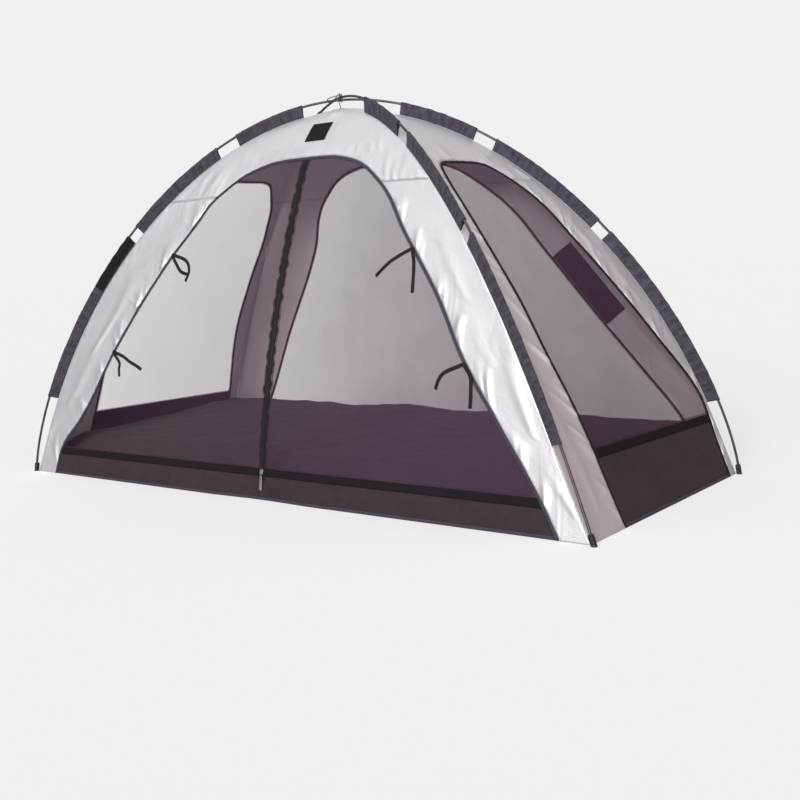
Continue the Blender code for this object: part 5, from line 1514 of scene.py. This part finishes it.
def tie(name):
    """Ribbon sewn at its middle to the window's edge: two limp tails with heat-cut ends."""
    fold, route = TIE_ROUTES[name]
    line = smooth_route(route)
    normals = wall_normals("front", line[:, 0], line[:, 2])
    width = np.cross(normals[0], line[1] - line[0])
    widths, runs = [], unit(np.gradient(line, axis=0))
    for run, normal in zip(runs, normals):
        width = unit(width - run * np.dot(width, run))
        flat = np.cross(normal, run)
        width = unit(width + flat * math.copysign(TIE_EASE, np.dot(flat, width)))
        widths.append(width)
    widths = np.array(widths)
    faces = unit(np.cross(runs, widths))
    anchor = fold * ROUTE_STEPS
    shares = np.linspace(-0.5, 0.5, 7)
    cupped = 0.0004 * (1 - (2 * shares) ** 2)
    for label, part in (("first", slice(anchor, None, -1)), ("second", slice(anchor, None))):
        path, side, face = line[part], widths[part], faces[part]
        table = np.array([path + side * (TIE_WIDTH * s) + face * (c + 0.0004)
                          for s, c in zip(shares, cupped)])
        across = (shares * TIE_WIDTH + 0.005)[:, None]
        lay = np.stack(np.broadcast_arrays(across, spans(path)[None]), -1)
        ribbon = grid_sheet(table, lay, {})
        piece = piece_from(f"{name}_{label}_tail", ribbon, ["black_binding"])
        wall = piece.modifiers.new("thickness", "SOLIDIFY")
        wall.thickness, wall.offset = RIBBON_THICKNESS, 0.0
        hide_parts(name)


def rod(name, points, shares, radius, resolution, finish):
    """Round rod along a line; at each point it is as thick as the point's share of the radius."""
    curve = bpy.data.curves.new(name, "CURVE")
    curve.dimensions = "3D"
    curve.bevel_depth, curve.bevel_resolution = radius, resolution
    curve.use_fill_caps = True
    spline = curve.splines.new("POLY")
    spline.points.add(len(points) - 1)
    for point, place, share in zip(spline.points, points, shares):
        point.co, point.radius = (*place, 1.0), share
    spline.use_smooth = True
    curve.materials.append(FINISHES[finish])
    piece = bpy.data.objects.new(name, curve)
    bpy.context.scene.collection.objects.link(piece)
    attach(piece, "tent")
    return piece


def crossing_cord():
    """Cord that ties the poles' crossing to the crown."""
    line = smooth_route(CORD_ROUTE)
    piece = rod("crossing_cord_finished", line, np.ones(len(line)), CORD_RADIUS, 4, "braided_cord")
    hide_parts("crossing_cord")


def cup(corner):
    """Turned cup on a pole's tip, ribbed for grip and cut flat where it stands."""
    near = pole_points(corner, turn_at_share(corner, 0.0))
    far = pole_points(corner, turn_at_share(corner, 0.045))
    axis = Vector(unit(far - near))
    body = bmesh.new()
    verts = [body.verts.new((r, 0.0, z)) for r, z in CUP_PROFILE]
    edges = [body.edges.new(pair) for pair in zip(verts, verts[1:])]
    bmesh.ops.spin(body, geom=verts + edges, cent=(0.0, 0.0, 0.0), axis=(0.0, 0.0, 1.0),
                   angle=2 * math.pi, steps=40, use_merge=True)
    bmesh.ops.remove_doubles(body, verts=body.verts[:], dist=MERGE)
    turned = Vector((0.0, 0.0, 1.0)).rotation_difference(axis).to_matrix().to_4x4()
    bmesh.ops.transform(body, matrix=Matrix.Translation(Vector(near)) @ turned, verts=body.verts[:])
    cut_flat(body, 0.0)
    for face in body.faces:
        face.smooth = True
    name = f"cup_{corner}"
    piece = piece_from(f"{name}_finished", body, ["moulded_plastic"])
    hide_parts(name)


def poles():
    """Bent rods in three sections each, with a rolled ferrule over each joint."""
    for pole, ends in POLE_ENDS.items():
        turns = np.linspace(0.0, math.pi / 2, 130)
        path = np.vstack([pole_points(ends[0], turns), pole_points(ends[1], turns[::-1])[1:]])
        tips, clear = [], True
        for end in (path[0], path[-1]):
            reach = np.linalg.norm(path - end, axis=1)
            rim = path[np.argmin(np.abs(reach - CUP_DEPTH))]
            tips.append(end + unit(rim - end) * (CUP_FLOOR + TOUCH_GAP))
            clear = clear & (reach > 2 * CUP_FLOOR)
        path = np.vstack([tips[0], path[clear], tips[1]])
        for k in range(1, 4):
            node = f"pole_{pole}_section_{k}"
            low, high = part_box(node)
            margin = POLE_RADIUS * 0.4
            inside = (path[:, 0] >= low[0] + margin) & (path[:, 0] <= high[0] - margin)
            points = path[inside]
            radii = np.ones(len(points))
            if k > 1:
                run = unit(points[1] - points[0])
                thick = FERRULE_RADIUS / POLE_RADIUS
                steps = (0.0, 0.0008, 0.0010, FERRULE_LENGTH - 0.002, FERRULE_LENGTH - 0.0016,
                         FERRULE_LENGTH)
                ring = (thick * 0.97, thick, thick, thick, thick * 0.97, 1.0)
                collar = np.array([points[0] + run * step for step in steps])
                rest = points[np.linalg.norm(points - points[0], axis=1) > FERRULE_LENGTH + 0.002]
                points = np.vstack([collar, rest])
                radii = np.concatenate([ring, np.ones(len(rest))])
            piece = rod(f"{node}_finished", points, radii, POLE_RADIUS, 5, "pole_coating")
            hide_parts(node)


def studio():
    """Pale floor that meets an even background, a soft key, and a sky dimmer to the left and back."""
    bpy.ops.mesh.primitive_plane_add(size=FLOOR_SIZE, location=(0.0, 0.0, -0.0002))
    floor = bpy.context.object
    floor.name = "studio_floor"
    material = bpy.data.materials.new("studio_floor")
    material.use_nodes = True
    ground = Nodes(material.node_tree)
    diffuse = ground.node("BsdfDiffuse", sockets={"Color": ground.paint([FLOOR_COLOUR] * 3)})
    seen = ground.rays("Camera", "Transmission")
    glow = ground.node("Emission", sockets={"Strength": seen * FLOOR_GLOW})
    both = ground.node("AddShader", sockets={0: diffuse, 1: glow})
    ground.tree.links.new(both.socket, ground.tree.nodes["Material Output"].inputs["Surface"])
    floor.data.materials.append(material)

    world = bpy.data.worlds.new("studio")
    bpy.context.scene.world = world
    world.use_nodes = True
    sky = Nodes(world.node_tree)
    x, y, z = sky.axes(sky.node("TexCoord", outlet="Generated"))
    left = (x * -3.3 - 1.15 - z).clipped()
    behind = (x * 0.55 + y * 1.3 - 0.35).clipped()
    hue = sky.colour(behind, sky.colour(left, [1.0] * 3, LEFT_SKY), BACK_SKY)
    level = sky.rays("Glossy") * (SKY_GLOSS - SKY_LEVEL) + SKY_LEVEL
    unseen = sky.node("VectorMath", {"operation": "SCALE"}, {"Vector": hue, "Scale": level})
    light = sky.colour(sky.rays("Camera", "Transmission"), unseen, [BACKGROUND] * 3)
    sky.tree.links.new(light.socket, sky.tree.nodes["Background"].inputs["Color"])

    key = bpy.data.lights.new("key", "SUN")
    key.energy, key.angle = KEY_STRENGTH, math.radians(KEY_SPREAD)
    lamp = bpy.data.objects.new("key", key)
    bpy.context.scene.collection.objects.link(lamp)
    lamp.rotation_euler = Vector(KEY_FROM).to_track_quat("Z", "Y").to_euler()


def build():
    bpy.context.scene.view_settings.view_transform = "Standard"
    place_camera()
    for name in TIE_ROUTES:
        tie(name)
    crossing_cord()
    poles()
    sleeves()
    for wall, (first, second, _) in WALLS.items():
        left, _, right = window_lines(wall, PIPING_GAP)
        band(wall, first, left)
        band(wall, second, right)
        binding(wall)
        skirt(wall)
        hem_tape(wall)
    crown()
    nets()
    floor_sheet()
    zip_tapes()
    for node, round_to in (("slider", 0.00025), ("pull_outer", 0.00022), ("pull_inner", 0.00022)):
        copied_node(node, round_to)
    pocket("back", 1)
    pocket("front", -1)
    patch()
    for corner in CORNERS:
        cup(corner)
    studio()


build()
